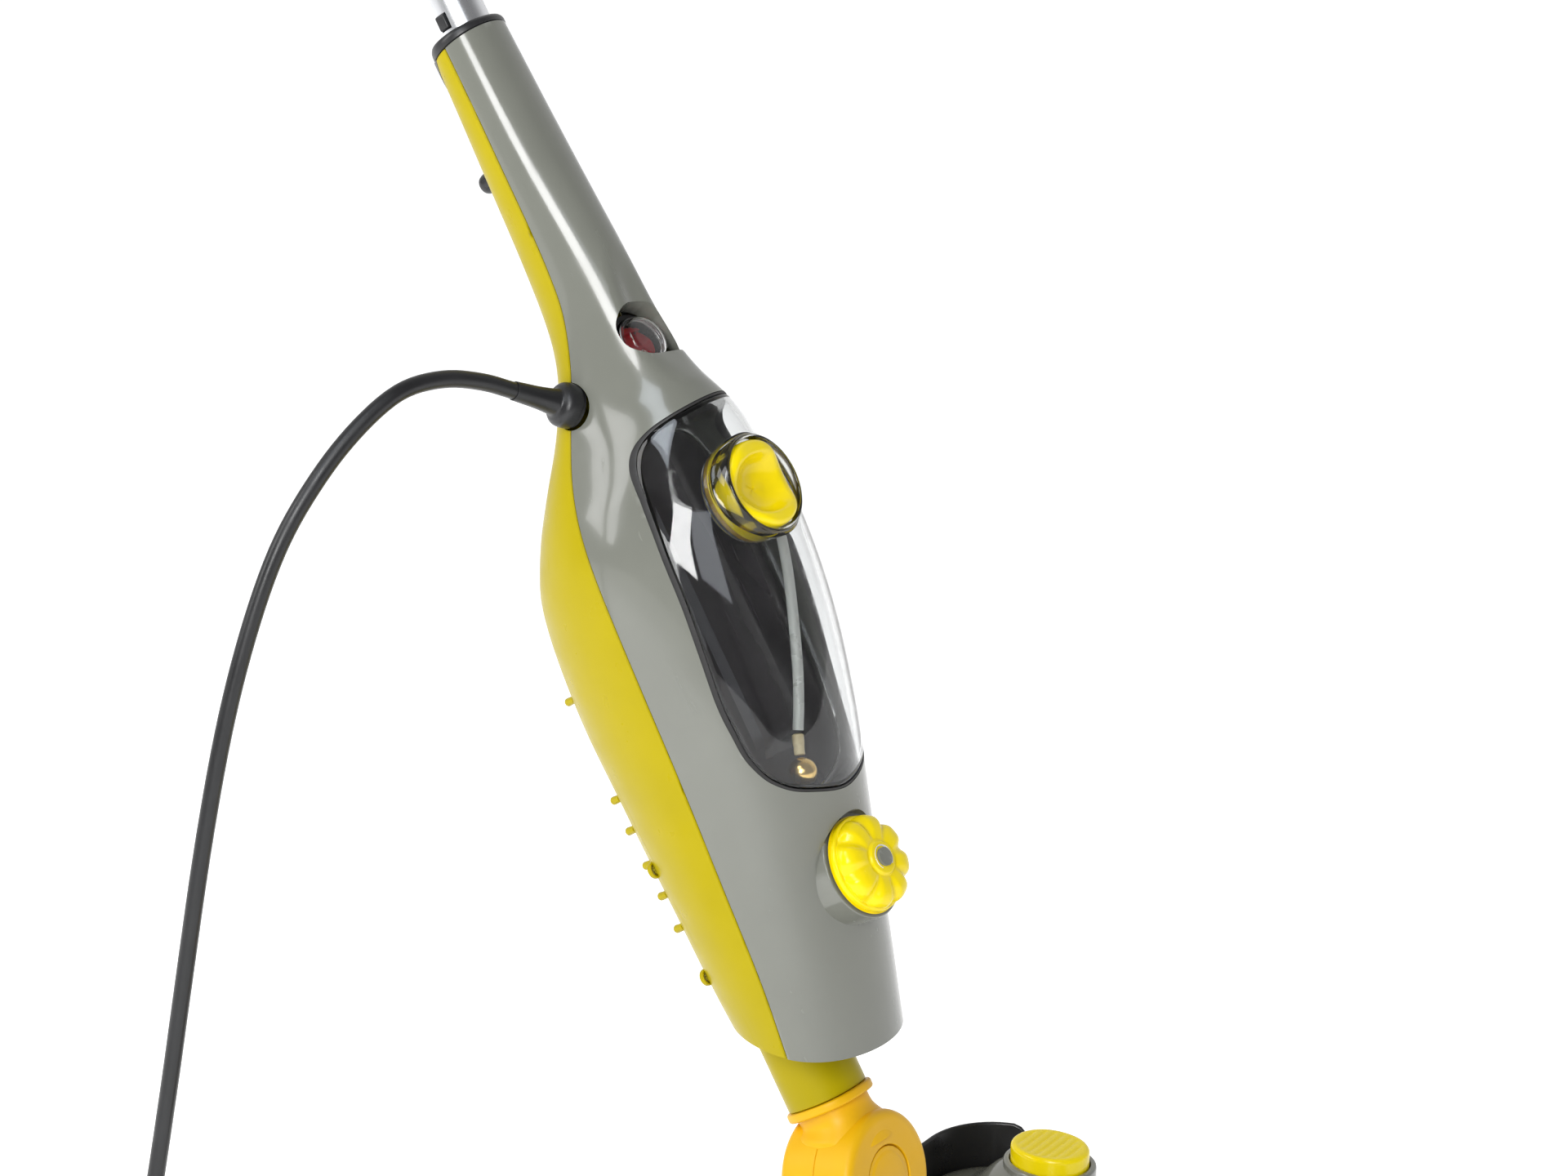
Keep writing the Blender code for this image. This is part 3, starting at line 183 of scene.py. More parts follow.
def finish(name, colour, roughness, drift=0.04, grain=(1500, 0.004), wave=0.0, marks=0.0, worn=0.0,
           stretch=(1, 1, 1), **sockets):
    """A moulded, drawn or cast surface. The colour drifts slowly, the grain is (features a metre, depth
    in mm), wave is a slow unevenness in mm, marks are fine rubbed lines and worn pales the edges."""
    made = bpy.data.materials.new(name)
    made.use_nodes = True
    tree = made.node_tree
    shader = tree.nodes["Principled BSDF"]
    base = Vector(colour)
    tint = ramp(tree, noise(tree, 30, 4, stretch), base * (1 - drift), base * (1 + drift))
    if worn:
        edge = add(tree, "ShaderNodeNewGeometry").outputs["Pointiness"]
        share = spread(tree, edge, 0.0, worn, 0.52, 0.62)
        pale = base * 0.6 + Vector((0.4, 0.4, 0.4))
        tint = add(tree, "ShaderNodeMixRGB", {"Fac": share, "Color1": tint, "Color2": (*pale, 1)}).outputs[0]
    tree.links.new(tint, shader.inputs["Base Color"])
    rough = spread(tree, noise(tree, 75, 5, stretch), roughness * 0.82, roughness * 1.2)
    heights = [(noise(tree, grain[0], 2, stretch), grain[1])]
    if wave:
        heights.append((noise(tree, 22, 1), wave))
    if marks:
        lines = spread(tree, noise(tree, 260, 6, (1, 1, 0.06)), 0.0, 1.0, 0.62, 0.7)
        rough = add(tree, "ShaderNodeMath", {0: lines, 1: marks, 2: rough},
                    operation="MULTIPLY_ADD").outputs[0]
    tree.links.new(rough, shader.inputs["Roughness"])
    bumped(tree, shader, heights)
    for key, value in sockets.items():
        shader.inputs[key.replace("_", " ").title().replace("Ior", "IOR")].default_value = value
    return name, made


def make_finishes():
    """Every finish, by the name it is given, which is the record's slot where it has one. Blender may add
    a number to a material's own name, so each comes with the name."""
    made = [
        finish("grey_shell", (0.172, 0.176, 0.150), 0.17, 0.025, (900, 0.003), 0.05, 0.10, 0.15,
               coat_weight=0.35, coat_roughness=0.06),
        finish("lime_shell", (0.41, 0.325, 0.0003), 0.32, 0.03, (900, 0.003), 0.06, 0.10,
               specular_ior_level=0.15),
        finish("yellow_controls", (0.87, 0.68, 0.001), 0.20, 0.03, (1200, 0.003), 0.03, 0.06,
               specular_ior_level=0.35),
        finish("joint_orange", (0.78, 0.43, 0.002), 0.42, 0.05, (2600, 0.012), 0.03, 0.05,
               specular_ior_level=0.3),
        finish("black_plastic", (0.013, 0.013, 0.014), 0.30, 0.15, (1800, 0.008), 0.02, 0.12, 0.04),
        finish("dark_tray", (0.015, 0.012, 0.015), 0.2, 0.25, (500, 0.004), 0.08, 0.1,
               specular_ior_level=0.25),
        finish("black_rubber", (0.012, 0.011, 0.011), 0.55, 0.2, (2600, 0.02), worn=0.05),
        finish("soft_grip", (0.020, 0.020, 0.022), 0.68, 0.15, (1700, 0.06), 0.03, worn=0.06),
        finish("aluminium_tube", (0.80, 0.81, 0.83), 0.27, 0.03, (700, 0.004), 0.0, 0.10,
               stretch=(1, 1, 0.03), metallic=1.0),
        finish("steel", (0.68, 0.68, 0.70), 0.24, 0.05, (900, 0.006), 0.0, 0.12, metallic=1.0),
        finish("brass", (0.80, 0.55, 0.20), 0.22, 0.08, (800, 0.015), 0.05, 0.1, metallic=1.0),
        finish("silicone", (0.72, 0.74, 0.70), 0.30, 0.04, (500, 0.02), 0.05, transmission_weight=0.25,
               subsurface_weight=0.0),
        finish("beige_plastic", (0.66, 0.56, 0.33), 0.35, 0.06, (1400, 0.01)),
        finish("amber_plastic", (0.70, 0.42, 0.03), 0.25, 0.08, (900, 0.01), transmission_weight=0.3),
        finish("red_rocker", (0.42, 0.004, 0.012), 0.22, 0.06, (1100, 0.004), 0.02, 0.1, coat_weight=0.3,
               coat_roughness=0.1),
        finish("cord_black", (0.012, 0.012, 0.013), 0.36, 0.2, (1300, 0.02), 0.08, 0.1),
        clear_finish("clear_plastic", (0.96, 0.97, 0.97), 0.03, 0.03),
        clear_finish("clear_dome", (0.97, 0.97, 0.97), 0.02, 0.01),
        pile_finish(),
        finish("printed_white", (0.85, 0.85, 0.80), 0.45, 0.02, (1600, 0.006)),
    ]
    return dict(made)


def clear_finish(name, colour, roughness, wave):
    made = bpy.data.materials.new(name)
    made.use_nodes = True
    tree = made.node_tree
    shader = tree.nodes["Principled BSDF"]
    shader.inputs["Base Color"].default_value = (*colour, 1)
    shader.inputs["Transmission Weight"].default_value = 1.0
    shader.inputs["IOR"].default_value = 1.47
    rough = spread(tree, noise(tree, 160, 6), roughness, roughness * 3.5, 0.5, 0.75)
    tree.links.new(rough, shader.inputs["Roughness"])
    bumped(tree, shader, [(noise(tree, 24, 1), wave)])
    return name, made


def pile_finish():
    """Looped microfibre: short cream tufts and a soft sheen, with painted shade in the gaps between the
    tufts, where the pile dips.
    """
    made = bpy.data.materials.new("microfibre")
    made.use_nodes = True
    tree = made.node_tree
    shader = tree.nodes["Principled BSDF"]
    place = add(tree, "ShaderNodeTexCoord").outputs["Object"]
    tufts = add(tree, "ShaderNodeTexVoronoi", {"Vector": place, "Scale": 420.0}).outputs["Distance"]
    fibre = noise(tree, 3000, 4)
    # Painted shade: the tuft colour turns grey towards the gaps between tufts, which the bump below also
    # sinks.
    tree.links.new(ramp(tree, tufts, (0.80, 0.80, 0.77), (0.42, 0.43, 0.42), 0.2, 0.75),
                   shader.inputs["Base Color"])
    shader.inputs["Roughness"].default_value = 0.95
    shader.inputs["Sheen Weight"].default_value = 0.5
    shader.inputs["Sheen Roughness"].default_value = 0.4
    bumped(tree, shader, [(tufts, -1.2), (fibre, 0.3)])
    return "microfibre", made


FINISH = make_finishes()


# ---- shapes, in mm --------------------------------------------------------------------------------


def mesh_from(rows, ring=True, wrap=False, caps=True):
    """Quads between rows of points. A ring's row closes on itself, wrap joins last row to first."""
    bm = bmesh.new()
    made = [[bm.verts.new(p) for p in row] for row in rows]
    pairs = list(zip(made, made[1:])) + ([(made[-1], made[0])] if wrap else [])
    for here, after in pairs:
        count = len(here)
        for k in range(count if ring else count - 1):
            n = (k + 1) % count
            bm.faces.new((here[k], here[n], after[n], after[k]))
    if ring and caps and not wrap:
        bm.faces.new(made[0])
        bm.faces.new(made[-1])
    return cleaned(bm)


def cleaned(bm):
    bmesh.ops.remove_doubles(bm, verts=bm.verts, dist=1e-4)
    bmesh.ops.dissolve_degenerate(bm, edges=bm.edges, dist=1e-5)
    bmesh.ops.recalc_face_normals(bm, faces=bm.faces)
    mesh = bpy.data.meshes.new("shape")
    bm.to_mesh(mesh)
    bm.free()
    return mesh


def rounded(points, radius, steps=5, closed=False):
    """A 2D outline whose corners are eased. radius is one number, or one for each point."""
    out = []
    count = len(points)
    for i in range(count):
        here = Vector(points[i])
        size = radius[i] if isinstance(radius, (list, tuple)) else radius
        if size == 0 or (not closed and i in (0, count - 1)):
            out.append(tuple(here))
            continue
        before = Vector(points[i - 1]) - here
        after = Vector(points[(i + 1) % count]) - here
        ease = min(size, before.length * 0.48, after.length * 0.48)
        start, end = here + before.normalized() * ease, here + after.normalized() * ease
        for k in range(steps + 1):
            t = k / steps
            out.append(tuple(start * (1 - t) ** 2 + here * 2 * t * (1 - t) + end * t * t))
    return out


def turned(profile, steps=72, closed=False):
    """A solid of revolution about Z, from radius and height."""
    rows = [[(r * math.cos(TURN * k / steps), r * math.sin(TURN * k / steps), z)
             for k in range(steps)] for r, z in profile]
    return mesh_from(rows, wrap=closed)


def slab(outline, low, high, ease=0.0, steps=3):
    """A flat outline in XY from low to high, its two edges eased."""
    middle = sum((Vector(p) for p in outline), Vector((0, 0))) / len(outline)
    reach = max((Vector(p) - middle).length for p in outline)
    levels = [(0.0, low), (0.0, high)]
    if ease:
        arc = [(ease * (1 - math.sin(math.pi / 2 * k / steps)),
                ease * (1 - math.cos(math.pi / 2 * k / steps))) for k in range(steps + 1)]
        levels = [(i, low + d) for i, d in arc] + [(i, high - d) for i, d in reversed(arc)]
    rows = []
    for inset, z in levels:
        share = 1 - inset / reach
        rows.append([(*(middle + (Vector(p) - middle) * share), z) for p in outline])
    return mesh_from(rows)


def box(size, ease=0.0, at=(0, 0, 0)):
    x, y, z = (v / 2 for v in size)
    corner = rounded([(-x, -y), (x, -y), (x, y), (-x, y)], ease * 1.3, 4, True) if ease else \
        [(-x, -y), (x, -y), (x, y), (-x, y)]
    mesh = slab(corner, -z, z, ease)
    mesh.transform(Matrix.Translation(at))
    return mesh


def rod(radius, low, high, ease=0.0, steps=48):
    return turned(rounded([(0, high), (radius, high), (radius, low), (0, low)], ease, 4), steps)


def smooth_points(points, steps, closed=False):
    """Catmull-Rom points through a route."""
    route = [Vector(p) for p in points]
    if closed:
        route = [route[-1]] + route + route[:2]
    else:
        route = [2 * route[0] - route[1]] + route + [2 * route[-1] - route[-2]]
    out = []
    for a, b, c, d in zip(route, route[1:], route[2:], route[3:]):
        for k in range(steps):
            u = k / steps
            out.append(0.5 * (2 * b + (c - a) * u + (2 * a - 5 * b + 4 * c - d) * u * u
                              + (3 * b - a - 3 * c + d) * u ** 3))
    return out if closed else out + [route[-2]]


def pipe(points, radius, sides=16, closed=False, flat=1.0, ends=True):
    """A tube along points, carried without twist. radius is a number, or a function of 0 to 1."""
    count = len(points)
    rows = []
    side = None
    for k, here in enumerate(points):
        before = points[k - 1] if k or closed else here
        after = points[(k + 1) % count] if k < count - 1 or closed else here
        along = (Vector(after) - Vector(before)).normalized()
        if side is None:
            side = along.orthogonal().normalized()
        side = (side - along * side.dot(along)).normalized()
        up = along.cross(side)
        size = radius(k / (count - 1)) if callable(radius) else radius
        rows.append([Vector(here) + size * (side * math.cos(TURN * n / sides)
                                            + up * flat * math.sin(TURN * n / sides))
                     for n in range(sides)])
    return mesh_from(rows, wrap=closed, caps=ends)


def oval(half_x, half_y, count=96, power=2.4):
    """A rounded oval, fuller than an ellipse."""
    points = []
    for k in range(count):
        c, s = math.cos(TURN * k / count), math.sin(TURN * k / count)
        points.append((half_x * math.copysign(abs(c) ** (2 / power), c),
                       half_y * math.copysign(abs(s) ** (2 / power), s)))
    return points


def loose(mesh, place=None):
    obj = bpy.data.objects.new("tool", mesh)
    bpy.context.scene.collection.objects.link(obj)
    if place:
        obj.matrix_world = place
    return obj


def combined(mesh, *steps, edge=0.0, angle=40):
    """The mesh after each (operation, mesh, placement) in turn, its new edges eased by edge."""
    base = loose(mesh)
    tools = []
    for operation, other, place in steps:
        tools.append(loose(other, place))
        modifier = base.modifiers.new("step", "BOOLEAN")
        modifier.operation = operation
        modifier.object = tools[-1]
    if edge:
        weld = base.modifiers.new("weld", "WELD")
        weld.merge_threshold = 0.01
        ease = base.modifiers.new("ease", "BEVEL")
        ease.width = edge
        ease.segments = 3
        ease.angle_limit = math.radians(angle)
        ease.miter_outer = "MITER_ARC"
    bpy.context.view_layer.update()
    graph = bpy.context.evaluated_depsgraph_get()
    made = bpy.data.meshes.new_from_object(base.evaluated_get(graph))
    for obj in [base] + tools:
        bpy.data.objects.remove(obj)
    return made


def cut(mesh, place=None):
    return "DIFFERENCE", mesh, place


def add_on(mesh, place=None):
    return "UNION", mesh, place


def kept(mesh, place=None):
    return "INTERSECT", mesh, place


def joined(*meshes):
    """Separate shapes as one mesh. Each is a mesh, or a mesh with its placement."""
    bm = bmesh.new()
    for item in meshes:
        mesh, place = item if isinstance(item, tuple) else (item, None)
        if place:
            mesh = mesh.copy()
            mesh.transform(place)
        bm.from_mesh(mesh)
    out = bpy.data.meshes.new("joined")
    bm.to_mesh(out)
    bm.free()
    return out


def piece(name, mesh, place, slot, body, *nodes, look=None, angle=38):
    """Puts a shape, made in mm, in its frame, on its body, in place of CAD nodes."""
    obj = bpy.data.objects.new(name, mesh)
    bpy.context.scene.collection.objects.link(obj)
    mesh.name = name
    mesh.transform(Matrix.Scale(MM, 4))
    mesh.materials.clear()
    mesh.materials.append(FINISH[look or slot])
    if not mesh.has_custom_normals:
        mesh.shade_smooth()
        mesh.set_sharp_from_angle(angle=math.radians(angle))
    obj.matrix_world = place
    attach(obj, body)
    if nodes:
        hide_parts(*nodes)
    return obj


def skin(node, mesh, place, slot, body="mop_body", **more):
    """A piece that stands for one CAD node."""
    return piece(node + "_skin", mesh, place, slot, body, node, **more)


# ---- the body's surface ---------------------------------------------------------------------------


def stations_table(step=0.25):
    """Heights, and seam, front, back and half width at each, eased between the stations."""
    rows = np.array(STATIONS, float)
    slopes = np.array([(rows[min(k + 1, len(rows) - 1)] - rows[max(k - 1, 0)])
                       / (rows[min(k + 1, len(rows) - 1), 0] - rows[max(k - 1, 0), 0])
                       for k in range(len(rows))])
    heights = np.arange(rows[0, 0] - 10, rows[-1, 0] + 10, step)
    k = np.clip(np.searchsorted(rows[:, 0], heights, side="right") - 1, 0, len(rows) - 2)
    span = (rows[k + 1, 0] - rows[k, 0])[:, None]
    u = ((heights - rows[k, 0])[:, None]) / span
    values = (rows[k, 1:] * (2 * u ** 3 - 3 * u ** 2 + 1) + slopes[k, 1:] * span * (u ** 3 - 2 * u ** 2 + u)
              + rows[k + 1, 1:] * (3 * u ** 2 - 2 * u ** 3) + slopes[k + 1, 1:] * span * (u ** 3 - u ** 2))
    for n in range(values.shape[1]):
        values[:, n] = np.convolve(np.pad(values[:, n], 40, "edge"), SMOOTHING, "valid")
    return heights, values


SMOOTHING = np.hanning(81)
SMOOTHING = SMOOTHING / SMOOTHING.sum()
HEIGHTS, VALUES = stations_table()


def station(height):
    return [float(np.interp(height, HEIGHTS, VALUES[:, n])) for n in range(4)]


def body_point(height, angle, inset=0.0):
    """A point of the body's surface: angle 0 is the front, a quarter turn the seam."""
    seam, front, back, half = station(height)
    turn = math.cos(angle)
    reach = (front - seam - flattening(height) * turn ** 12 if turn > 0 else seam - back) - inset
    return Vector((seam + reach * turn, (half - inset) * math.sin(angle), height))


def flattening(height):
    """How far the middle of the front is drawn in around the switch, where the face is nearly flat."""
    away = abs(height - FLAT_MIDDLE) / FLAT_REACH
    return FLAT_DEPTH * (1 - away * away) ** 2 if away < 1 else 0.0


def front_depth(height, side):
    seam, front, _, half = station(height)
    return seam + (front - seam) * math.sqrt(max(0.0, 1 - (side / half) ** 2))


def back_depth(height, side):
    seam, _, back, half = station(height)
    return seam - (seam - back) * math.sqrt(max(0.0, 1 - (side / half) ** 2))


def surface_level(points):
    """1 on the body's surface, less inside."""
    seam, front, back, half = (np.interp(points[:, 2], HEIGHTS, VALUES[:, n]) for n in range(4))
    reach = np.where(points[:, 0] > seam, front - seam, seam - back)
    return ((points[:, 0] - seam) / reach) ** 2 + (points[:, 1] / half) ** 2


def eased_normals(mesh, angle=38, near=0.02):
    """Gives the body's true normals to the faces on its surface, so that cuts leave no shading marks."""
    mesh.shade_smooth()
    mesh.set_sharp_from_angle(angle=math.radians(angle))
    points = np.array([v.co for v in mesh.vertices], float)
    step = 0.3
    slope = np.stack([surface_level(points + e) - surface_level(points - e) for e in np.eye(3) * step], 1)
    true = slope / np.maximum(np.linalg.norm(slope, axis=1, keepdims=True), 1e-9)
    on = np.abs(surface_level(points) - 1) < near
    normals = np.array([c.vector for c in mesh.corner_normals], float)
    for face in mesh.polygons:
        for k in face.loop_indices:
            v = mesh.loops[k].vertex_index
            if on[v] and float(np.dot(true[v], face.normal)) > 0.94:
                normals[k] = true[v]
    mesh.normals_split_custom_set([tuple(n) for n in normals])
    return mesh


def half_shell(middle, low=44.0, high=560.0, step=3.0, across=72):
    """Half of the housing's wall as a closed shell, its ends on the rim and neck planes."""
    def swing(height, lift):
        seam, front, back, _ = station(height)
        return math.pi / 2 - (SEAM_GAP + lift) / (front - seam if middle == 0 else seam - back)

    def end_heights(inset, lift, start, plane, height):
        """Where the lines along the wall meet a slanted plane."""
        angles = [middle + swing(start, lift) * (2 * k / across - 1) for k in range(across + 1)]
        return [body_point(on_plane(plane, angle, inset, height), angle, inset).z for angle in angles]

    def stretched(inset, lift):
        """Rows between the two slanted ends, spaced evenly along each line."""
        first = end_heights(inset, lift, low, rim_height, low)
        last = end_heights(inset, lift, high, neck_height, NECK_TOP)
        count = round((high - low) / step)
        rows = []
        for n in range(count + 1):
            heights = [a + (b - a) * n / count for a, b in zip(first, last)]
            rows.append([body_point(height, middle + swing(height, lift) * (2 * k / across - 1), inset)
                         for k, height in enumerate(heights)])
        return rows

    outer, ease, inner = stretched(0.0, 0.5), stretched(0.5, 0.0), stretched(WALL, 0.0)
    return mesh_from([[b[0]] + a + [b[-1]] + c[::-1] for a, b, c in zip(outer, ease, inner)])


def on_plane(plane, angle, inset, height):
    """The height at which the surface crosses a slanted plane, found in a few steps."""
    for _ in range(8):
        height = plane(body_point(height, angle, inset).x)
    return height


def rim_height(depth):
    """Height of the body's bottom plane, which is level with the floor."""
    return RIM_HEIGHT - (depth - RIM_DEPTH) * math.tan(LEAN)


def neck_height(depth):
    return NECK_TOP + NECK_SLANT * (depth - TUBE_DEPTH)


def window_loop(inset=0.0, steps=6):
    """The tank window's outline as (height, side) points, drawn in by inset."""
    half = [Vector(p) for p in WINDOW]
    loop = smooth_points(half + [Vector((z, -y)) for z, y in half[-2:0:-1]], steps, True)
    out = []
    for k, here in enumerate(loop):
        along = loop[(k + 1) % len(loop)] - loop[k - 1]
        outward = Vector((along.y, -along.x)).normalized()
        if outward.dot(here - Vector((265, 0))) < 0:
            outward = -outward
        out.append(here - outward * inset)
    return out


def window_prism(inset, near, far):
    rows = [[(x, p.y, p.x) for p in window_loop(inset)] for x in (near, far)]
    return mesh_from(rows)


# ---- body shells ----------------------------------------------------------------------------------


def switch_outline(grow=0.0):
    """The switch's recess: round above, straight across below, with a tail to the far side."""
    route = [(-17.2, -5.5), (-15.4, -11.5), (-11.0, -15.2), (-5, -16.4), (1.8, -15.7), (6.6, -12.6),
             (9.6, -8.6), (11.0, 0), (12.0, 8), (12.6, 15.5), (10.4, 18.2), (6.0, 16.4), (-1, 14.2),
             (-8, 12.4), (-13.6, 8.6), (-16.8, 2.0)]
    points = smooth_points(route, 6, True)
    return [tuple(p * (1 + grow / 14)) for p in points]


def switch_lining(grow, foot):
    """The tube of wall round the recess, in the switch's frame, up to just under the surface."""
    inside = core_mesh(340, 450, 0.25 if grow < 2 else 0.0)
    return combined(slab(switch_outline(grow), foot, 24), kept(inside, in_body(SWITCH).inverted()))


def front_cover():
    recess = slab(switch_outline(), -13, 24)
    boss = combined(rod(27.5, 0, 40), kept(core_mesh(60, 220, 0.2),
                                           facing(KNOB_SEAT, KNOB_HEIGHT).inverted()))
    mesh = combined(
        half_shell(0),
        add_on(boss, facing(KNOB_SEAT, KNOB_HEIGHT)),
        add_on(rod(25.0, 0, 19, 0.9, 96), facing(KNOB_SEAT, KNOB_HEIGHT)),
        cut(rod(25.3, 0, 30, 0, 96), facing(85.0, KNOB_HEIGHT)),
        cut(rod(22.3, 0, 24.5, 0, 64), facing(58, KNOB_HEIGHT)),
        cut(rod(4.4, 0, 40, 0, 40), facing(60, KNOB_HEIGHT)),
        cut(window_prism(0.0, 66, 150)),
        add_on(switch_lining(1.8, LINING_FOOT), in_body(SWITCH)),
        cut(recess, in_body(SWITCH)),
        cut(rod(GLAND_HOLE, -12, 18, 0, 48), in_body(GLAND)),
        edge=0.35)
    return skin("front_cover", eased_normals(mesh), BODY, "grey_shell")


def in_body(place):
    """Another frame, seen from the body's, in mm."""
    local = BODY.inverted() @ place
    local.translation = local.translation / MM
    return local


def core_mesh(low, high, inset, step=4.0, around=96):
    count = round((high - low) / step)
    rows = [[body_point(low + (high - low) * n / count, TURN * k / around, inset) for k in range(around)]
            for n in range(count + 1)]
    return mesh_from(rows)


def back_cover():
    steps = [cut(rod(GLAND_HOLE, -12, 18, 0, 48), in_body(GLAND)),
             cut(rod(5.4, 0, 30, 0, 48), backing(80, RELEASE_HEIGHT))]
    for height, side in SCREWS:
        depth = back_depth(height, side)
        if side:
            steps.append(add_on(rod(4.2, 0, 2.4, 0.5, 32), backing(depth + 1.4, height, side)))
        steps.append(cut(rod(3.2, 0, 12, 0, 32), backing(depth + 1.4, height, side)))
    for height in PEG_HEIGHTS:
        for side in (PEG_SIDE, -PEG_SIDE):
            depth = back_depth(height, side)
            peg = turned(rounded([(0, 6.4), (2.1, 6.4), (1.75, 0), (0, 0)], [0, 1.6, 0, 0], 4), 20)
            steps.append(add_on(peg, backing(depth + 1.2, height, side)
                                @ Matrix.Rotation(math.radians(12 if side > 0 else -12), 4, "X")))
    mesh = combined(half_shell(math.pi), *steps, edge=0.3)
    return skin("back_cover", eased_normals(mesh), BODY, "lime_shell")


def cover_screws():
    """Cross-head screws at the foot of each recess."""
    for n, (height, side) in enumerate(SCREWS):
        head = turned(rounded([(0, 1.5), (1.6, 1.4), (2.7, 0.7), (2.7, -0.4), (0, -0.4)],
                              [0, 0.4, 0.4, 0, 0]), 32)
        slots = [cut(box((x, y, 1.4), 0, (0, 0, 1.5))) for x, y in ((3.2, 0.7), (0.7, 3.2))]
        head = combined(head, *slots)
        depth = back_depth(height, side) + 1.3
        piece(f"cover_screw_skin_{n + 1}", head, BODY @ scaled(backing(depth, height, side)), "steel",
              "mop_body", f"cover_screw_{n + 1}")


def scaled(place):
    """A placement in mm as one in metres."""
    out = place.copy()
    out.translation = out.translation * MM
    return out


def neck_collar():
    """Black ring on the neck's slanted top, with a tongue down the back."""
    around = 120
    bore = TUBE_RADIUS + 0.3

    def ring(inset, lift, share):
        """A loop between the neck's plane and the collar's top plane."""
        out = []
        for k in range(around):
            angle = TURN * k / around
            height = NECK_TOP
            for _ in range(6):
                depth = body_point(height, angle, inset).x
                low = neck_height(depth) + 0.3
                top = COLLAR_TOP + COLLAR_SLANT * (depth - TUBE_DEPTH)
                height = low + (top - low) * share + lift
            out.append(body_point(height, angle, inset))
        return out

    def bore_ring(height, radius=bore, slant=COLLAR_SLANT):
        return [Vector((TUBE_DEPTH + radius * math.cos(TURN * k / around),
                        radius * math.sin(TURN * k / around),
                        height + slant * radius * math.cos(TURN * k / around))) for k in range(around)]

    rows = [ring(0.5, 0, 0), ring(-0.3, 0, 0.1), ring(-0.35, 0, 0.5), ring(-0.1, -0.3, 0.85),
            ring(0.6, 0.1, 1.0), ring(1.8, 0.5, 1.0), bore_ring(COLLAR_TOP + 0.3, bore + 0.5),
            bore_ring(COLLAR_TOP - 0.2), bore_ring(TUBE_FOOT, bore, 0),
            ring_at(TUBE_FOOT, WALL + 0.6, around), ring(WALL + 0.6, -0.6, 0)]
    mesh = mesh_from(rows, wrap=True)
    tongue = []
    for n in range(17):
        height = 528 + 20 * n / 16
        half = 16.5 * math.sqrt(max(0.02, n / 16))
        tongue.append([(back_depth(height, y) - lift, y, height)
                       for y, lift in [(half, -0.6), (half, 0.35), (half * 0.8, 0.9), (0, 1.0),
                                       (-half * 0.8, 0.9), (-half, 0.35), (-half, -0.6)]])
    skin("neck_collar", joined(mesh, mesh_from(tongue)), BODY, "black_plastic")


def ring_at(height, inset, around):
    return [body_point(height, TURN * k / around, inset) for k in range(around)]


def bottom_plate():
    """Recessed plate that closes the body around the connector tube."""
    around = 96

    def edge(inset, lift):
        angles = [TURN * k / around for k in range(around)]
        heights = [on_plane(lambda x: rim_height(x) + lift, angle, inset, RIM_HEIGHT) for angle in angles]
        return [body_point(height, angle, inset) for height, angle in zip(heights, angles)]

    hole = [Vector((NECK_DEPTH + x, y, 0)) for x, y in oval(20.0, 19.2, around)]

    def inner(lift, grow=0.0):
        return [Vector((p.x + grow * (p.x - NECK_DEPTH) / 20, p.y * (1 + grow / 20), rim_height(p.x) + lift))
                for p in hole]

    rows = [edge(WALL + 0.35, 7.0), edge(WALL + 0.35, 4.6), edge(WALL + 1.0, 4.0), inner(4.0, 2.0),
            inner(3.0, 1.2), inner(3.0, 0.2), inner(8.0, 0.2)]
    skin("bottom_plate", mesh_from(rows, wrap=True), BODY, "black_plastic", look="dark_tray")


def release_button():
    """Domed button, with a shallow thumb hollow."""
    profile = rounded([(0, 18.2), (2.6, 18.5), (4.2, 17.8), (5.0, 15.6), (5.0, 7.4), (3.0, 7.4), (3.0, 6.3),
                       (0, 6.3)], [0, 1.4, 1.6, 1.5, 0.2, 0, 0, 0])
    back = station(RELEASE_HEIGHT)[2]
    skin("tube_release_button", turned(profile, 64), BODY @ scaled(backing(back + 10, RELEASE_HEIGHT)),
         "black_plastic", "release_button")


# ---- controls and tank ----------------------------------------------------------------------------


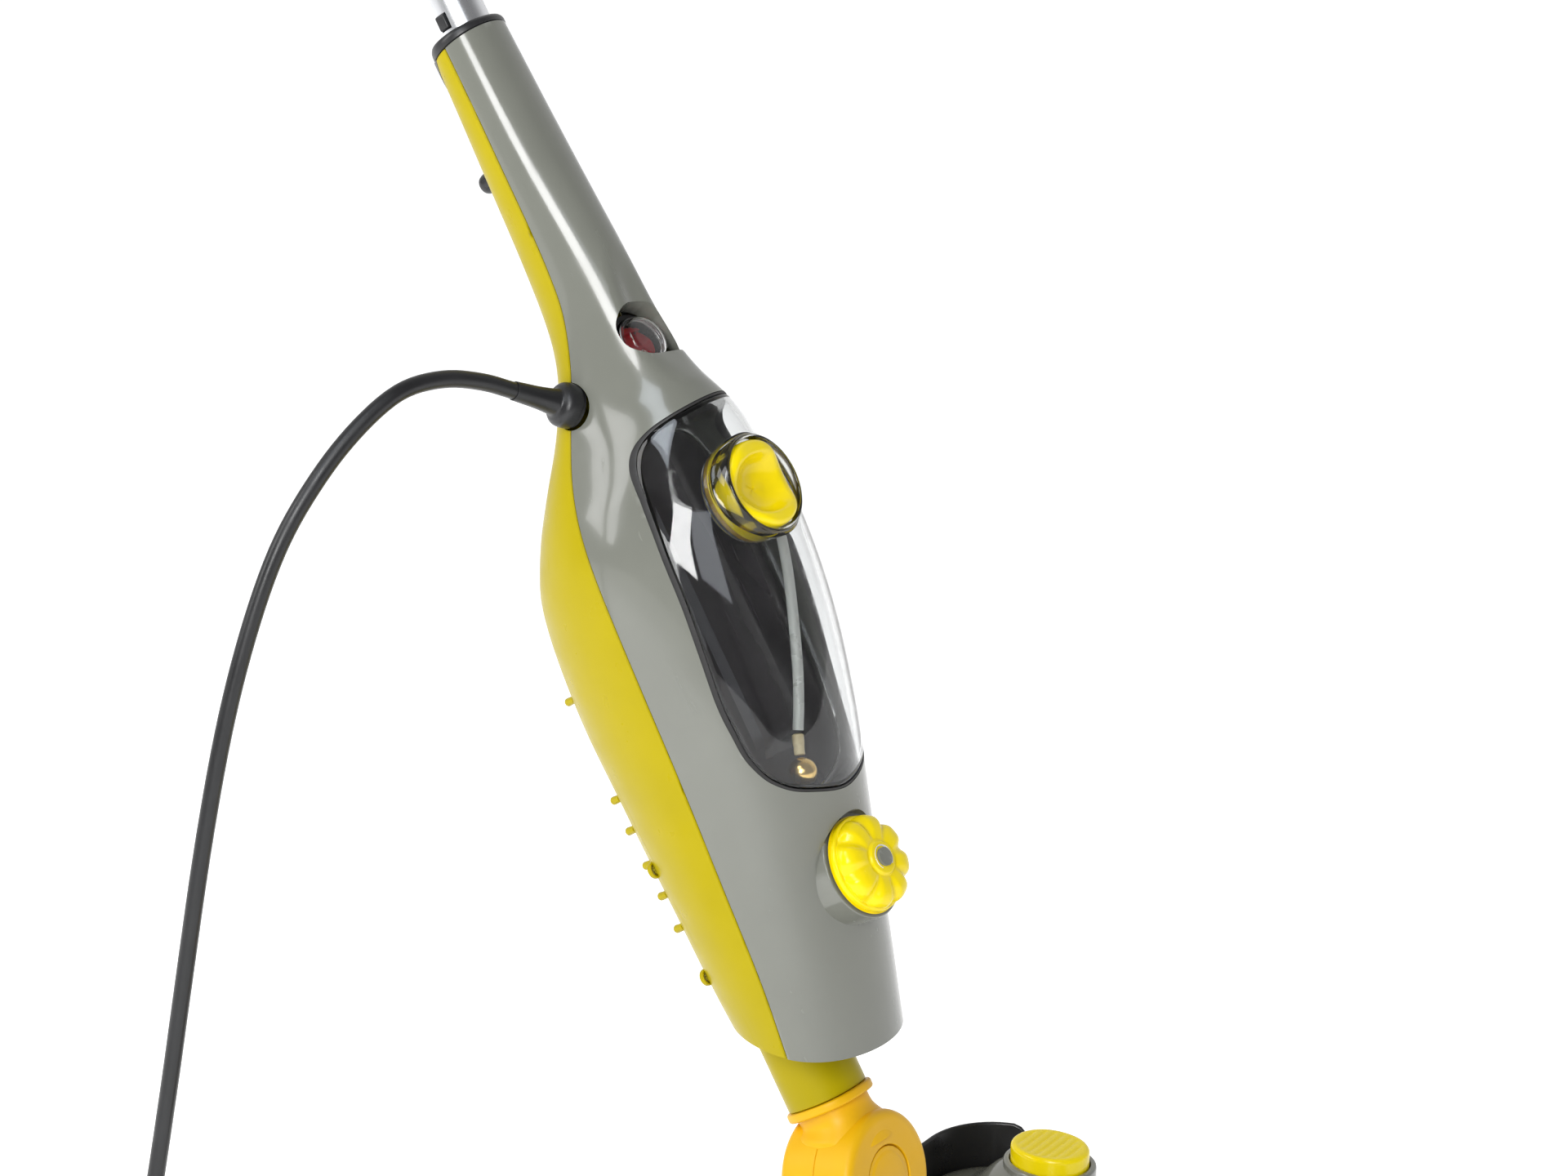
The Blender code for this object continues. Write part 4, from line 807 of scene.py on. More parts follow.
def steam_knob():
    """Eight soft petals on a smooth flange, around a raised disc with an arch and a steam mark."""
    # radius, height, and how far a dent between petals draws the point in and down
    profile = [(0, 12.5, 0), (6.6, 12.5, 0), (7.6, 12.35, 0), (8.1, 11.8, 0), (8.7, 11.3, 0.05),
               (10.0, 11.6, 0.25), (12.5, 11.9, 0.55), (15.0, 11.85, 0.8), (17.5, 11.3, 1.0),
               (19.6, 10.2, 1.1), (21.1, 8.6, 1.1), (21.9, 6.7, 1.0), (22.1, 5.2, 0.8), (21.8, 4.2, 0.4),
               (21.7, 3.7, 0.1), (22.3, 3.3, 0), (22.7, 2.7, 0), (22.7, 1.0, 0), (22.2, 0.2, 0),
               (21.6, 0, 0), (0, 0, 0)]
    dense = smooth_points([Vector(p) for p in profile], 3)
    around = 256
    rows = []
    for r, z, dent in dense:
        loop = []
        for k in range(around):
            angle = TURN * k / around
            valley = (0.5 + 0.5 * math.cos(8 * angle)) ** 2.6 * dent
            reach = max(r, 0.0) - 1.5 * valley * (0.4 + 0.6 * r / 22)
            loop.append((reach * math.cos(angle), reach * math.sin(angle), z - 1.7 * valley))
        rows.append(loop)
    knob = combined(mesh_from(rows), cut(rod(4.3, -2, 7, 0, 40)))
    place = BODY @ scaled(facing(KNOB_BACK, KNOB_HEIGHT))
    skin("steam_knob", knob, place, "yellow_controls", "steam_dial", angle=30)
    arch = [(5.6 * math.cos(a), 5.6 * math.sin(a), 12.62)
            for a in (math.radians(180 + 138 * (n / 24 * 2 - 1)) for n in range(25))]
    marks = [pipe(arch, 0.42, 8, flat=0.5)]
    for side in (-1.7, 0.0, 1.7):
        wave = [(2.2 - 4.2 * n / 12, side + 0.42 * math.sin(TURN * n / 12), 12.62) for n in range(13)]
        marks.append(pipe(wave, 0.32, 8, flat=0.5))
    piece("knob_steam_mark", joined(*marks), place, "yellow_controls", "steam_dial", look="printed_white")


def tank_neck_rows(count):
    """The tank's wall as loops, from the window's edge over the dome to the filling neck and back inside."""
    outline = window_loop(1.5)
    centre = Vector((CAP_HEIGHT, 0))
    ways = [(p - centre).normalized() for p in outline]

    def loop(spots, depth):
        return [Vector((depth(p.x, p.y), p.y, p.x)) for p in spots]

    def disc(radius):
        return [centre + w * radius for w in ways]

    def dome(inset):
        return lambda z, y: front_depth(z, y * (1 + inset / 60)) - inset

    def between(share, radius, outer):
        return [a.lerp(b, share) for a, b in zip(disc(radius), outer)]

    rows = [loop(outline, lambda z, y: 77.0)]
    rows.append(loop(outline, lambda z, y: dome(0.1)(z, y) - 1.4))
    for turn in (0.3, 0.7, 1.0):
        eased = window_loop(1.5 + 0.9 * turn ** 2)
        rows.append(loop(eased, lambda z, y, t=turn: dome(0.1)(z, y) - 1.4 * (1 - t) ** 1.5))
    edge = window_loop(2.5)
    for n in range(count, -1, -1):
        rows.append(loop(between(n / count, 26.4, edge), dome(0.1)))
    lip = 128.4
    for radius, share in ((25.4, 0.12), (24.6, 0.35), (24.1, 0.7)):
        rows.append([Vector((a.x + (lip - 1.2 - a.x) * share * 0.8, a.y, a.z))
                     for a in loop(disc(radius), dome(0.1))])
    for radius, depth in ((23.9, lip - 0.9), (23.5, lip - 0.2), (22.9, lip), (22.3, lip - 0.2),
                          (22.0, lip - 0.9), (22.0, 111.2), (15.6, 111.0), (15.6, 108.6), (21.6, 108.4)):
        rows.append(loop(disc(radius), lambda z, y, d=depth: d))
    rows.append(loop(disc(23.4), lambda z, y: min(111.5, dome(2.5)(z, y))))
    rows.append(loop(disc(25.2), dome(2.5)))
    inner = window_loop(4.0)
    for n in range(1, count + 1):
        rows.append(loop(between(n / count, 25.2, inner), dome(2.5)))
    rows.append(loop(window_loop(4.3), lambda z, y: dome(2.5)(z, y) - 1.2))
    rows.append(loop(window_loop(4.3), lambda z, y: 77.0))
    return rows


def water_tank():
    mesh = mesh_from(tank_neck_rows(30), wrap=True)
    skin("water_tank", mesh, BODY, "clear_plastic", angle=50)


def tank_gasket():
    """Rubber seal all round the window, just below the shell's surface."""
    def seat(inset, below):
        return [Vector((front_depth(p.x, p.y) - below, p.y, p.x)) for p in window_loop(inset, 8)]

    rows = [seat(0.1, 0.5), seat(0.45, 0.1), seat(0.95, 0.1), seat(1.35, 0.5), seat(1.35, 4.0),
            seat(0.1, 4.0)]
    skin("tank_gasket", mesh_from(rows, wrap=True), BODY, "black_rubber")


def tank_tray():
    """Dark back of the tank, with a broad raised rib that ends in a slope above the foot."""
    rows = []
    for n in range(81):
        height = 150 + 220 * n / 80
        share = max(0.0, min(1.0, (height - 190) / 15))
        lift = 5.0 * share * share * (3 - 2 * share)
        profile = [(-60, 70.4), (60, 70.4), (60, 72.5), (34, 75.6), (11.2, 76.2), (9.8, 76.3 + lift),
                   (8.8, 76.7 + lift), (0, 77.2 + lift), (-22, 76.9 + lift), (-25, 76.2 + lift * 0.4),
                   (-30, 75.9), (-60, 72.5)]
        rows.append([(x, y, height) for y, x in profile])
    mesh = combined(mesh_from(rows), kept(window_prism(4.6, 60, 100)), edge=0.5, angle=25)
    skin("tank_tray", mesh, BODY, "dark_tray", angle=25)


def filler_cap():
    """Deep scooped cap, its rim high above and below and low at the sides."""
    # radius, height, and how much of the rim's wave the point takes
    profile = [(0, 4.6, -0.1), (4, 4.8, -0.1), (8, 5.7, 0.0), (11.5, 7.8, 0.2), (14.2, 10.6, 0.55),
               (16.0, 12.6, 0.85), (17.6, 13.4, 1.0), (19.1, 13.2, 1.0), (20.4, 12.2, 0.9),
               (21.0, 10.6, 0.6), (21.2, 8.0, 0.15), (21.2, 5.0, 0), (21.2, 0.4, 0), (20.8, 0, 0),
               (0, 0, 0)]
    dense = smooth_points([Vector(p) for p in profile], 4)
    around = 192
    rows = []
    for r, z, share in dense:
        loop = []
        for k in range(around):
            angle = TURN * k / around
            wave = math.cos(2 * angle) - 0.35 * math.cos(4 * angle)
            inner = 1 - 0.16 * share * max(0.0, math.cos(2 * angle)) * (1 if r < 18 else 0)
            reach = max(r, 0.0) * inner
            loop.append((reach * math.cos(angle), reach * math.sin(angle), z + 3.0 * share * wave))
        rows.append(loop)
    place = BODY @ scaled(facing(114.8, CAP_HEIGHT))
    skin("tank_cap", mesh_from(rows), place, "yellow_controls", "filler_cap", angle=60)
    ring = rounded([(21.2, -0.4), (21.2, -3.4), (15.8, -3.4), (15.8, -0.4)], 0.5, 3, True)
    skin("cap_thread_ring", turned(ring, 96, closed=True), place, "amber_plastic")


def tank_hose():
    """Milky hose from the filling neck to a beige barb, with the brass ball that keeps it down."""
    route = smooth_points([(108, 19, 283), (106, 14.7, 267), (103, 7.1, 246), (98.5, 0.4, 225),
                           (94, -4.4, 210), (90.2, -7.6, 200)], 12)
    skin("tank_hose", pipe(route, 2.5, 24), BODY, "silicone")
    barb = turned(rounded([(0, 9.8), (1.6, 9.8), (2.7, 9.2), (2.7, 4.6), (2.45, 4.2), (2.45, 0), (0, 0)],
                          0.3), 40)
    place = BODY @ placed((87.9, -11.2, 189.5), (-0.34, 0.16, 0))
    skin("hose_barb", barb, place, "beige_plastic")
    ball = turned([(6.7 * math.sin(math.pi * k / 32), 6.7 * math.cos(math.pi * k / 32))
                   for k in range(33)], 64)
    ball = combined(ball, cut(rod(1.5, -8, 8, 0, 24), Matrix.Rotation(math.radians(70), 4, "X")), edge=0.3)
    skin("hose_sinker", ball, BODY @ placed((86.8, -13, 182)), "brass")


def power_switch():
    """Cup, tilted rocker with its generic on and off marks, and the clear dome over it."""
    cup = combined(rod(15.5, -17.5, 6, 0, 96), kept(core_mesh(330, 450, WALL + 0.6),
                                                    in_body(SWITCH).inverted()),
                   cut(slab(switch_outline(2.1), LINING_FOOT - 0.2, 30)), cut(rod(13.2, -15.5, 30, 0, 96)))
    skin("switch_housing", cup, SWITCH, "black_plastic")
    dome = rounded([(0, 2.4), (9.4, 1.8), (11.2, 0.4), (11.6, -3.0), (12.8, -3.2), (12.8, -4.2), (10.6, -4.2),
                    (10.2, -0.2), (8.8, 0.6), (0, 1.2)], [0, 6, 1.4, 0.3, 0.3, 0.2, 0.2, 1.0, 5, 0], 6)
    skin("switch_dome", turned(dome, 128), SWITCH, "clear_plastic", look="clear_dome")
    button = turned(rounded([(0, 3.5), (9.8, 3.5), (9.8, -3.5), (0, -3.5)], [0, 0.9, 0.4, 0]), 80)
    slopes = [cut(box((30, 30, 6)), placed_mm((side * 8, 0, 5.2), side * math.radians(-7)))
              for side in (-1, 1)]
    skin("power_rocker", combined(button, *slopes, edge=0.4, angle=12), ROCKER, "red_rocker", "rocker",
         angle=18)
    bar = box((3.6, 0.55, 0.3), 0.1, (-4.9, 0, 2.52))
    ring = pipe([(5.2 + 1.7 * math.cos(a), 1.7 * math.sin(a), 2.5)
                 for a in (TURN * k / 32 for k in range(32))], 0.28, 8, True)
    piece("rocker_marks", joined(bar, ring), ROCKER, "red_rocker", "rocker", look="printed_white")


def placed_mm(location, tilt):
    return Matrix.Translation(location) @ Matrix.Rotation(tilt, 4, "Y")


# ---- works inside the body ------------------------------------------------------------------------


def inner_works():
    """Boiler, pump, pipes and valve: mostly hidden, so plain shapes with eased edges."""
    boiler = rounded([(0, 265), (22, 265), (22, 176), (16, 170), (0, 170)], [0, 6, 3, 3, 0])
    skin("boiler", turned(boiler, 64), BODY @ placed((24, 0, 0)), "steel")
    pump = rounded([(0, 338), (13, 338), (15, 334), (15, 316), (14.2, 315), (14.2, 312), (15, 311), (15, 292),
                    (10, 288), (0, 288)], 0.8)
    skin("water_pump", turned(pump, 64), BODY @ placed((48, 0, 0)), "black_plastic")
    skin("thermostat", rod(8, 0, 5, 0.8), BODY @ scaled(facing(46.4, 215)), "brass")
    valve = box((20, 26, 26), 1.6, (51, 0, KNOB_HEIGHT))
    skin("steam_valve", valve, BODY, "brass")
    skin("knob_stem", rod(4, 0, 31, 0.5), BODY @ scaled(facing(61.5, KNOB_HEIGHT)), "steel", "steam_dial")
    water = smooth_points([(45, 0, 287), (42, 0, 280), (32, 0, 274), (28, 0, 266)], 6)
    skin("water_pipe", pipe(water, 2.5, 20), BODY, "silicone")
    steam = smooth_points([(22, 0, 169.4), (20, 0, 150), (11, 0, 115), (6.5, 0, 90), (6.5, 0, 40)], 8)
    skin("steam_pipe", pipe(steam, 3.0, 20), BODY, "brass")


# ---- knuckle --------------------------------------------------------------------------------------


def connector():
    outer = slab(oval(18.6, 18.9), 36.6, 104, 0.5)
    bore = slab(oval(15.8, 16.1), 30, 110)
    mesh = combined(outer, cut(bore))
    skin("connector_tube", mesh, BODY @ placed((NECK_DEPTH, 0, 0)), "lime_shell")
    flange = slab(oval(20.4, 20.6), 31.8, 36.2, 1.1)
    flange.transform(Matrix.Translation((NECK_DEPTH, 0, 0)))
    # The neck flares and tilts until it lies along the knuckle's disc.
    flare = ((31.9, 16.7, 16.9), (28.5, 16.7, 16.9), (26.6, 16.9, 17.2), (25.2, 17.5, 18.0), (24, 18.3, 19.0),
             (22.7, 19.2, 20.3), (21.4, 19.9, 21.6), (20.0, 20.2, 22.6), (14, 19.9, 22.6))
    rows = []
    for k, (height, half_x, half_y) in enumerate(flare):
        share = min(1.0, k / 6)
        tilt = DISC_TILT * share
        across = Vector((math.cos(tilt), 0, -math.sin(tilt)))
        middle = Vector((NECK_DEPTH + 0.9 * share, 0, height))
        rows.append([middle + across * x + Vector((0, y, 0)) for x, y in oval(half_x, half_y)])
    neck = mesh_from(rows)
    inside = rod(32.6, -19.5, 19.5, 4.5, 128)
    neck = combined(neck, add_on(flange), cut(inside, in_body(DISC)),
                    cut(rod(8, -10, 60, 0, 48), Matrix.Translation((NECK_DEPTH, 0, 0))))
    skin("joint_neck", neck, BODY, "joint_orange", angle=50)


def knuckle():
    """Two dished halves with round rims, a cap in the middle of each face and the pin through them."""
    profile = rounded([(16.6, 20.5), (33, 20.5), (33, 0.45), (32.5, 0.05), (28.4, 0.05), (28.4, 14.5),
                       (5.5, 14.5), (5.5, 17.3), (16.6, 17.3)], [0.7, 5.2, 0.3, 0.3, 0, 1.5, 0, 0, 0], 9,
                      True)
    reach, half = 60, math.radians(64)
    wedge = [(0, 0)] + [(reach * math.cos(half * k / 16), reach * math.sin(half * k / 16))
                        for k in range(-16, 17)]
    for name, turn in (("knuckle_front_shell", 0.0), ("knuckle_rear_shell", math.pi)):
        mesh = turned(profile, 144, closed=True)
        mesh.transform(Matrix.Rotation(turn, 4, "X"))
        mesh = combined(mesh, cut(slab(wedge, -10.5, 10.5)), edge=0.5)
        piece(name + "_skin", mesh, DISC, "joint_orange", "mop_body", name, angle=45)
    cap = rounded([(0, 21.0), (8, 20.9), (12.5, 20.6), (14.0, 20.1), (15.9, 20.0), (15.9, 17.7), (0, 17.7)],
                  [0, 2, 1, 0.6, 0.5, 0, 0], 5)
    for name, turn in (("front_pivot_cap", 0.0), ("rear_pivot_cap", math.pi)):
        mesh = turned(cap, 96)
        mesh.transform(Matrix.Rotation(turn, 4, "X"))
        piece(name + "_skin", mesh, DISC, "joint_orange", "mop_body", name)
    skin("roll_pin", rod(5, -17.3, 17.3, 0.6), DISC, "steel")


def yoke():
    hub = turned(rounded([(24, 9), (24, -9), (5.4, -9), (5.4, 9)], 0.8, 4, True), 96, closed=True)
    leg = box((ARM - 8, 18, 17), 2.2, ((ARM + 8) / 2, 0, 0))
    across = Matrix.Translation((ARM, 0, 0)) @ Matrix.Rotation(math.pi / 2, 4, "X")
    ribs = [add_on(box((24, 2.2, 20.4), 0.5, (ARM - 17, side, 0))) for side in (-6.4, 6.4)]
    mesh = combined(hub, add_on(leg), add_on(rod(9, -14, 14, 1.0, 72), across), *ribs,
                    cut(rod(3.4, -30, 30, 0, 48), across), cut(rod(5.4, -30, 30, 0, 48)), edge=0.5)
    skin("yoke_hub", mesh, DISC, "joint_orange", "yoke", angle=45)


# ---- floor head -----------------------------------------------------------------------------------


def head_outline(grow=0.0):
    """A rounded triangle by formula: a straight back, round corners and a soft nose."""
    nose, half, back, corner = 150 + grow, 162 + grow, -35 - grow, 36 + grow
    side = [(back, (half - corner) * k / 14) for k in range(1, 14)]
    for k in range(17):
        angle = math.pi / 2 * k / 16
        side.append((back + corner - corner * math.cos(angle), half - corner + corner * math.sin(angle)))
    start = back + corner
    for k in range(1, 57):
        u = math.sin(math.pi / 2 * k / 56)
        side.append((start + (nose - start) * u, half * (1 - u * u) ** 0.8))
    return [(back, 0)] + side + [(x, -y) for x, y in side[-2::-1]]


def eased(share):
    share = min(1.0, max(0.0, share))
    return share * share * (3 - 2 * share)


def deck_rise(x, y):
    """How far the deck climbs towards a button's collar at a point of its plan."""
    away = math.hypot((x - BUTTON_AT[0]) / COLLAR_HALF[0], (abs(y) - BUTTON_AT[1]) / COLLAR_HALF[1])
    return DECK_RISE * eased((DECK_RISE_REACH - away) / (DECK_RISE_REACH - 1))


def head_ring(outline, inset, height):
    """One ring of the deck, drawn in from the edge and lifted towards the buttons."""
    share = 1 - inset / HEAD_SPAN
    spots = [(HEAD_MIDDLE + (x - HEAD_MIDDLE) * share, y * share) for x, y in outline]
    climb = eased(inset / 5)
    return [(x, y, height + climb * deck_rise(x, y)) for x, y in spots]


def head_deck():
    """Shell with a soft shoulder, climbing to button collars, open round the yoke and its blocks."""
    outline = head_outline()
    over = smooth_points([Vector(p) for p in ((0, 12.2), (0, 17.5), (1.6, 20.6), (6, 23.4), (14, 25.2),
                                              (26, 26.8), (44, 28.0), (60, 28.6), (80, 28.9),
                                              (103, 29.0))], 6)
    under = [(101, 26.4), (80, 26.2), (60, 26.0), (42, 25.2), (26, 24.2), (14, 22.6), (8, 21.2), (2.6, 16.5),
             (2.4, 12.2)]
    rows = [head_ring(outline, i, h) for i, h in over[::-1]]
    rows += [head_ring(outline, i, h) for i, h in under[::-1]]
    mesh = mesh_from(rows)
    steps = []
    x, y = BUTTON_AT
    for side in (1, -1):
        place = Matrix.Translation((x, side * y, 0))
        steps.append(add_on(slab(oval(*COLLAR_HALF, 96, 2.1), 20, COLLAR_RIM, 1.4), place))
        steps.append(cut(slab(oval(21.2, 17.7, 96, 2.1), 0, 60), place))
        steps.append(add_on(rib_bar(side)))
    for lug in (-LUG_SIDE, LUG_SIDE):
        steps.append(cut(box((23, 9.4, 40), 0, (AXLE.x, lug, 30))))
    steps.append(cut(box((34, 30, 9), 2.0, (AXLE.x, 0, 32))))
    mesh = combined(mesh, *steps, edge=0.4)
    skin("head_deck", mesh, WORLD, "grey_shell", "floor_head", angle=32)


def rear_skirt(name, side):
    """A wall with a round top on the base plate round one rear corner, highest behind the button."""
    foot, low, crown = PLATE_TOP + 0.3, 18, 1.2
    rows = []
    for outer, inner in zip(head_outline(2.8), head_outline(0.5)):
        x, y = outer
        if y * side < 55 or x > 16:
            continue
        shoulder = low + (REAR_WALL - low) * eased((abs(y) - 55) / 65) * eased((16 - x) / 26) - crown
        loop = [(*outer, foot), (*outer, shoulder)]
        for k in range(1, 6):
            angle = math.pi * k / 6
            across = Vector(outer).lerp(Vector(inner), 0.5 - 0.5 * math.cos(angle))
            loop.append((*across, shoulder + crown * math.sin(angle)))
        rows.append(loop + [(*inner, shoulder), (*inner, foot)])
    skin(name, mesh_from(rows), WORLD, "black_plastic", "floor_head", angle=40)


def rib_bar(side):
    """A low raised bar from the nose towards each button."""
    route = [(118, side * 6), (96, side * 34), (74, side * 66), (60, side * 92)]
    points = [Vector((p.x, p.y, 27.9)) for p in smooth_points([Vector(p) for p in route], 8)]
    return pipe(points, lambda u: 3.4 * math.sqrt(max(0.04, 1 - (2 * u - 1) ** 2)) ** 0.5, 16, flat=0.55)


def clip_buttons():
    """Oval foot buttons with shallow ribs across the top."""
    x, y = BUTTON_AT
    outline = oval(20.4, 16.9, 128, 2.1)
    for name, side in (("left", 1), ("right", -1)):
        rows = [[(px * 0.9, py * 0.9, 25.0) for px, py in outline], [(px, py, 25.0) for px, py in outline]]
        for k in range(9):
            angle = math.pi / 2 * k / 8
            share = 1 - 2.6 * (1 - math.cos(angle)) / 20
            rows.append([(px * share, py * share, BUTTON_TOP - 2.6 + 2.6 * math.sin(angle))
                         for px, py in outline])
        count = 44
        for n in range(1, count):
            share = (1 - 2.6 / 20) * (1 - n / count)
            fade = min(1.0, n / 8)
            rows.append([(px * share, py * share, BUTTON_TOP + rib_height(px * share) * fade)
                         for px, py in outline])
        hollow = rod(12, 20, 44, 0, 48)
        mesh = combined(mesh_from(rows), cut(hollow))
        piece(f"clip_button_{name}_skin", mesh, placed((x, side * y, 0)), "yellow_controls",
              f"{name}_clip_button", f"clip_button_{name}", angle=50)


def rib_height(x):
    """Seven low ribs across the button."""
    return -0.55 * (0.5 + 0.5 * math.cos(TURN * x / 4.6)) ** 3 if abs(x) < 15.5 else 0.0


def head_base():
    skin("base_plate", slab(head_outline(3), PLATE_FOOT, PLATE_TOP, 1.6, 5), WORLD, "black_plastic",
         "floor_head")
    for name, side in (("left", 1), ("right", -1)):
        rear_skirt(f"rear_skirt_{name}", side)
        across = Matrix.Translation((AXLE.x, side * LUG_SIDE, AXLE.z)) @ Matrix.Rotation(math.pi / 2, 4, "X")
        block = box((22, 8, 26), 1.0, (AXLE.x, side * LUG_SIDE, 24.8))
        mesh = combined(block, add_on(rod(9, -4, 4, 0.8, 72), across), cut(rod(3.3, -9, 9, 0, 48), across),
                        edge=0.3)
        piece(f"axle_block_{name}_skin", mesh, WORLD, "black_plastic", "floor_head", f"axle_block_{name}")
        coil = []
        turns, low, high = 6, 12.6, 37.2
        for k in range(turns * 24 + 1):
            angle = TURN * k / 24
            rise = min(1.0, max(0.0, (k / (turns * 24) - 0.08) / 0.84))
            coil.append((8 * math.cos(angle), 8 * math.sin(angle), low + (high - low) * rise))
        wound = piece(f"clip_spring_{name}_skin", pipe(coil, 0.8, 12),
                      placed((BUTTON_AT[0], side * BUTTON_AT[1], 0)), "steel", "floor_head",
                      f"clip_spring_{name}")
        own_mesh(wound)
    axle = rod(3, -25, 25, 0.5)
    axle.transform(Matrix.Rotation(math.pi / 2, 4, "X"))
    skin("pitch_axle", axle, placed(AXLE), "steel", "floor_head")


def mop_pad():
    """Crowned pad with a tufted underside and a bound edge."""
    outline = head_outline(4.2)
    rows = []
    count = 46
    for n in range(count + 1):
        share = n / count
        ring = []
        for x, y in outline:
            px, py = HEAD_MIDDLE + (x - HEAD_MIDDLE) * share, y * share
            lengthways = math.sin(px * 1.15 + 2.1 * math.sin(py * 0.31))
            tuft = 0.5 + 0.5 * lengthways * math.sin(py * 1.05 + 1.7 * math.sin(px * 0.27))
            turned_up = max(0.0, (share - 0.94) / 0.06) ** 2
            ring.append((px, py, 0.1 + 1.3 * tuft * (1 - share ** 8) + 1.6 * turned_up))
        rows.append(ring)
    levels = ((1.006, 3.2), (1.0, 4.6), (0.985, 5.4), (0.95, 5.4), (0.6, 5.4), (0.2, 5.4), (0.02, 5.4))
    for share, z in levels:
        rows.append([(HEAD_MIDDLE + (x - HEAD_MIDDLE) * share, y * share, z) for x, y in outline])
    pad = skin("mop_pad", mesh_from(rows), WORLD, "microfibre", "floor_head", angle=80)
    edge = [Vector((x, y, 2.9)) for x, y in head_outline(4.6)]
    bind = pipe(edge, 2.1, 12, True, flat=1.15)
    binding = piece("pad_binding", bind, WORLD, "microfibre", "floor_head", look="cord_black", angle=80)


# ---- handle ---------------------------------------------------------------------------------------


def handle():
    outer = turned(rounded([(TUBE_RADIUS, TUBE_TOP), (TUBE_RADIUS, TUBE_FOOT), (TUBE_RADIUS - 1.2, TUBE_FOOT),
                            (TUBE_RADIUS - 1.2, TUBE_TOP)], 0.4, 3, True), 96, closed=True)
    outer.transform(Matrix.Translation((TUBE_DEPTH, 0, 0)))
    tube = combined(outer, cut(box((30, 6.4, 7.8), 0, (-15, 0, 0)), in_body(CATCH)))
    skin("handle_tube", tube, BODY, "aluminium_tube", "handle")
    skin("tube_catch", box((6, 5.6, 7.0), 0.7, (-11.2, 0, 0)), CATCH, "black_plastic", "catch")
    top, foot = GRIP_TOP, GRIP_FOOT
    profile = [(12, top), (15.6, top), (17, top - 6), (17, top - 14)]
    for k in range(22):
        z = top - 20 - 8 * k
        swell = 16.2 + 0.5 * math.cos(TURN * (top - z) / 95)
        profile += [(swell, z + 3.0), (swell, z - 1.2), (swell - 0.7, z - 1.8), (swell - 0.7, z - 2.8)]
    profile += [(15.4, foot + 12), (14.6, foot + 4), (14.4, foot), (13.05, foot), (13.05, foot + 60.3),
                (12, foot + 60.3)]
    grip = turned(rounded(profile, 0.45, 2, True), 72, closed=True)
    skin("handle_grip", grip, BODY @ placed((TUBE_DEPTH, 0, 0)), "soft_grip", "handle")
    cap = rounded([(0, top + 10), (8, top + 8.9), (13.4, top + 5.4), (15.8, top + 0.3), (11.6, top + 0.3),
                   (11.6, top - 12), (0, top - 12)], [0, 5, 4, 0.5, 0, 0, 0], 6)
    skin("grip_end_cap", turned(cap, 72), BODY @ placed((TUBE_DEPTH, 0, 0)), "lime_shell", "handle")
    cord_hook("lower_cord_hook", LOWER_HOOK, -1, "handle")
    cord_hook("upper_cord_hook", UPPER_HOOK, 1, "cord_hook")


def cord_hook(name, height, up, body):
    """A collar on the tube and a curved hook behind it, its mouth away from the other hook."""
    inner, outer = TUBE_RADIUS + 0.3, TUBE_RADIUS + 3.4
    ring = turned(rounded([(outer, 9), (outer, -9), (inner, -9), (inner, 9)], [1.2, 1.2, 0.4, 0.4], 4,
                          True), 72, closed=True)
    start = -TUBE_RADIUS - 0.8
    bend = [(start, -6), (start - 22, -6), (start - 30, -4.5), (start - 32.5, 2), (start - 32.5, 10),
            (start - 32, 16)]
    route = smooth_points([Vector((x, 0, z * up)) for x, z in bend], 8)
    rows = []
    for k, here in enumerate(route):
        before, after = route[max(k - 1, 0)], route[min(k + 1, len(route) - 1)]
        along = (after - before).normalized()
        thick = Vector((-along.z, 0, along.x))
        half = 7.0 - 1.6 * max(0.0, k / len(route) - 0.8) / 0.2
        rows.append([here + thick * (t * 2.5) + Vector((0, w * half, 0))
                     for t, w in rounded([(-1, -1), (1, -1), (1, 1), (-1, 1)], 0.3, 3, True)])
    mesh = combined(ring, add_on(mesh_from(rows)), edge=0.5)
    piece(name + "_skin", mesh, BODY @ placed((TUBE_DEPTH, 0, height)), "black_plastic", body, name, angle=45)


# ---- cord -----------------------------------------------------------------------------------------


def coil_centre():
    right = Vector((EXIT_SIDE.y, -EXIT_SIDE.x, 0))
    centre = GLAND_POINT + (EXIT_SIDE * CORD_LANDS + right * COIL_RADIUS) * MM
    return Vector((centre.x, centre.y, 0))


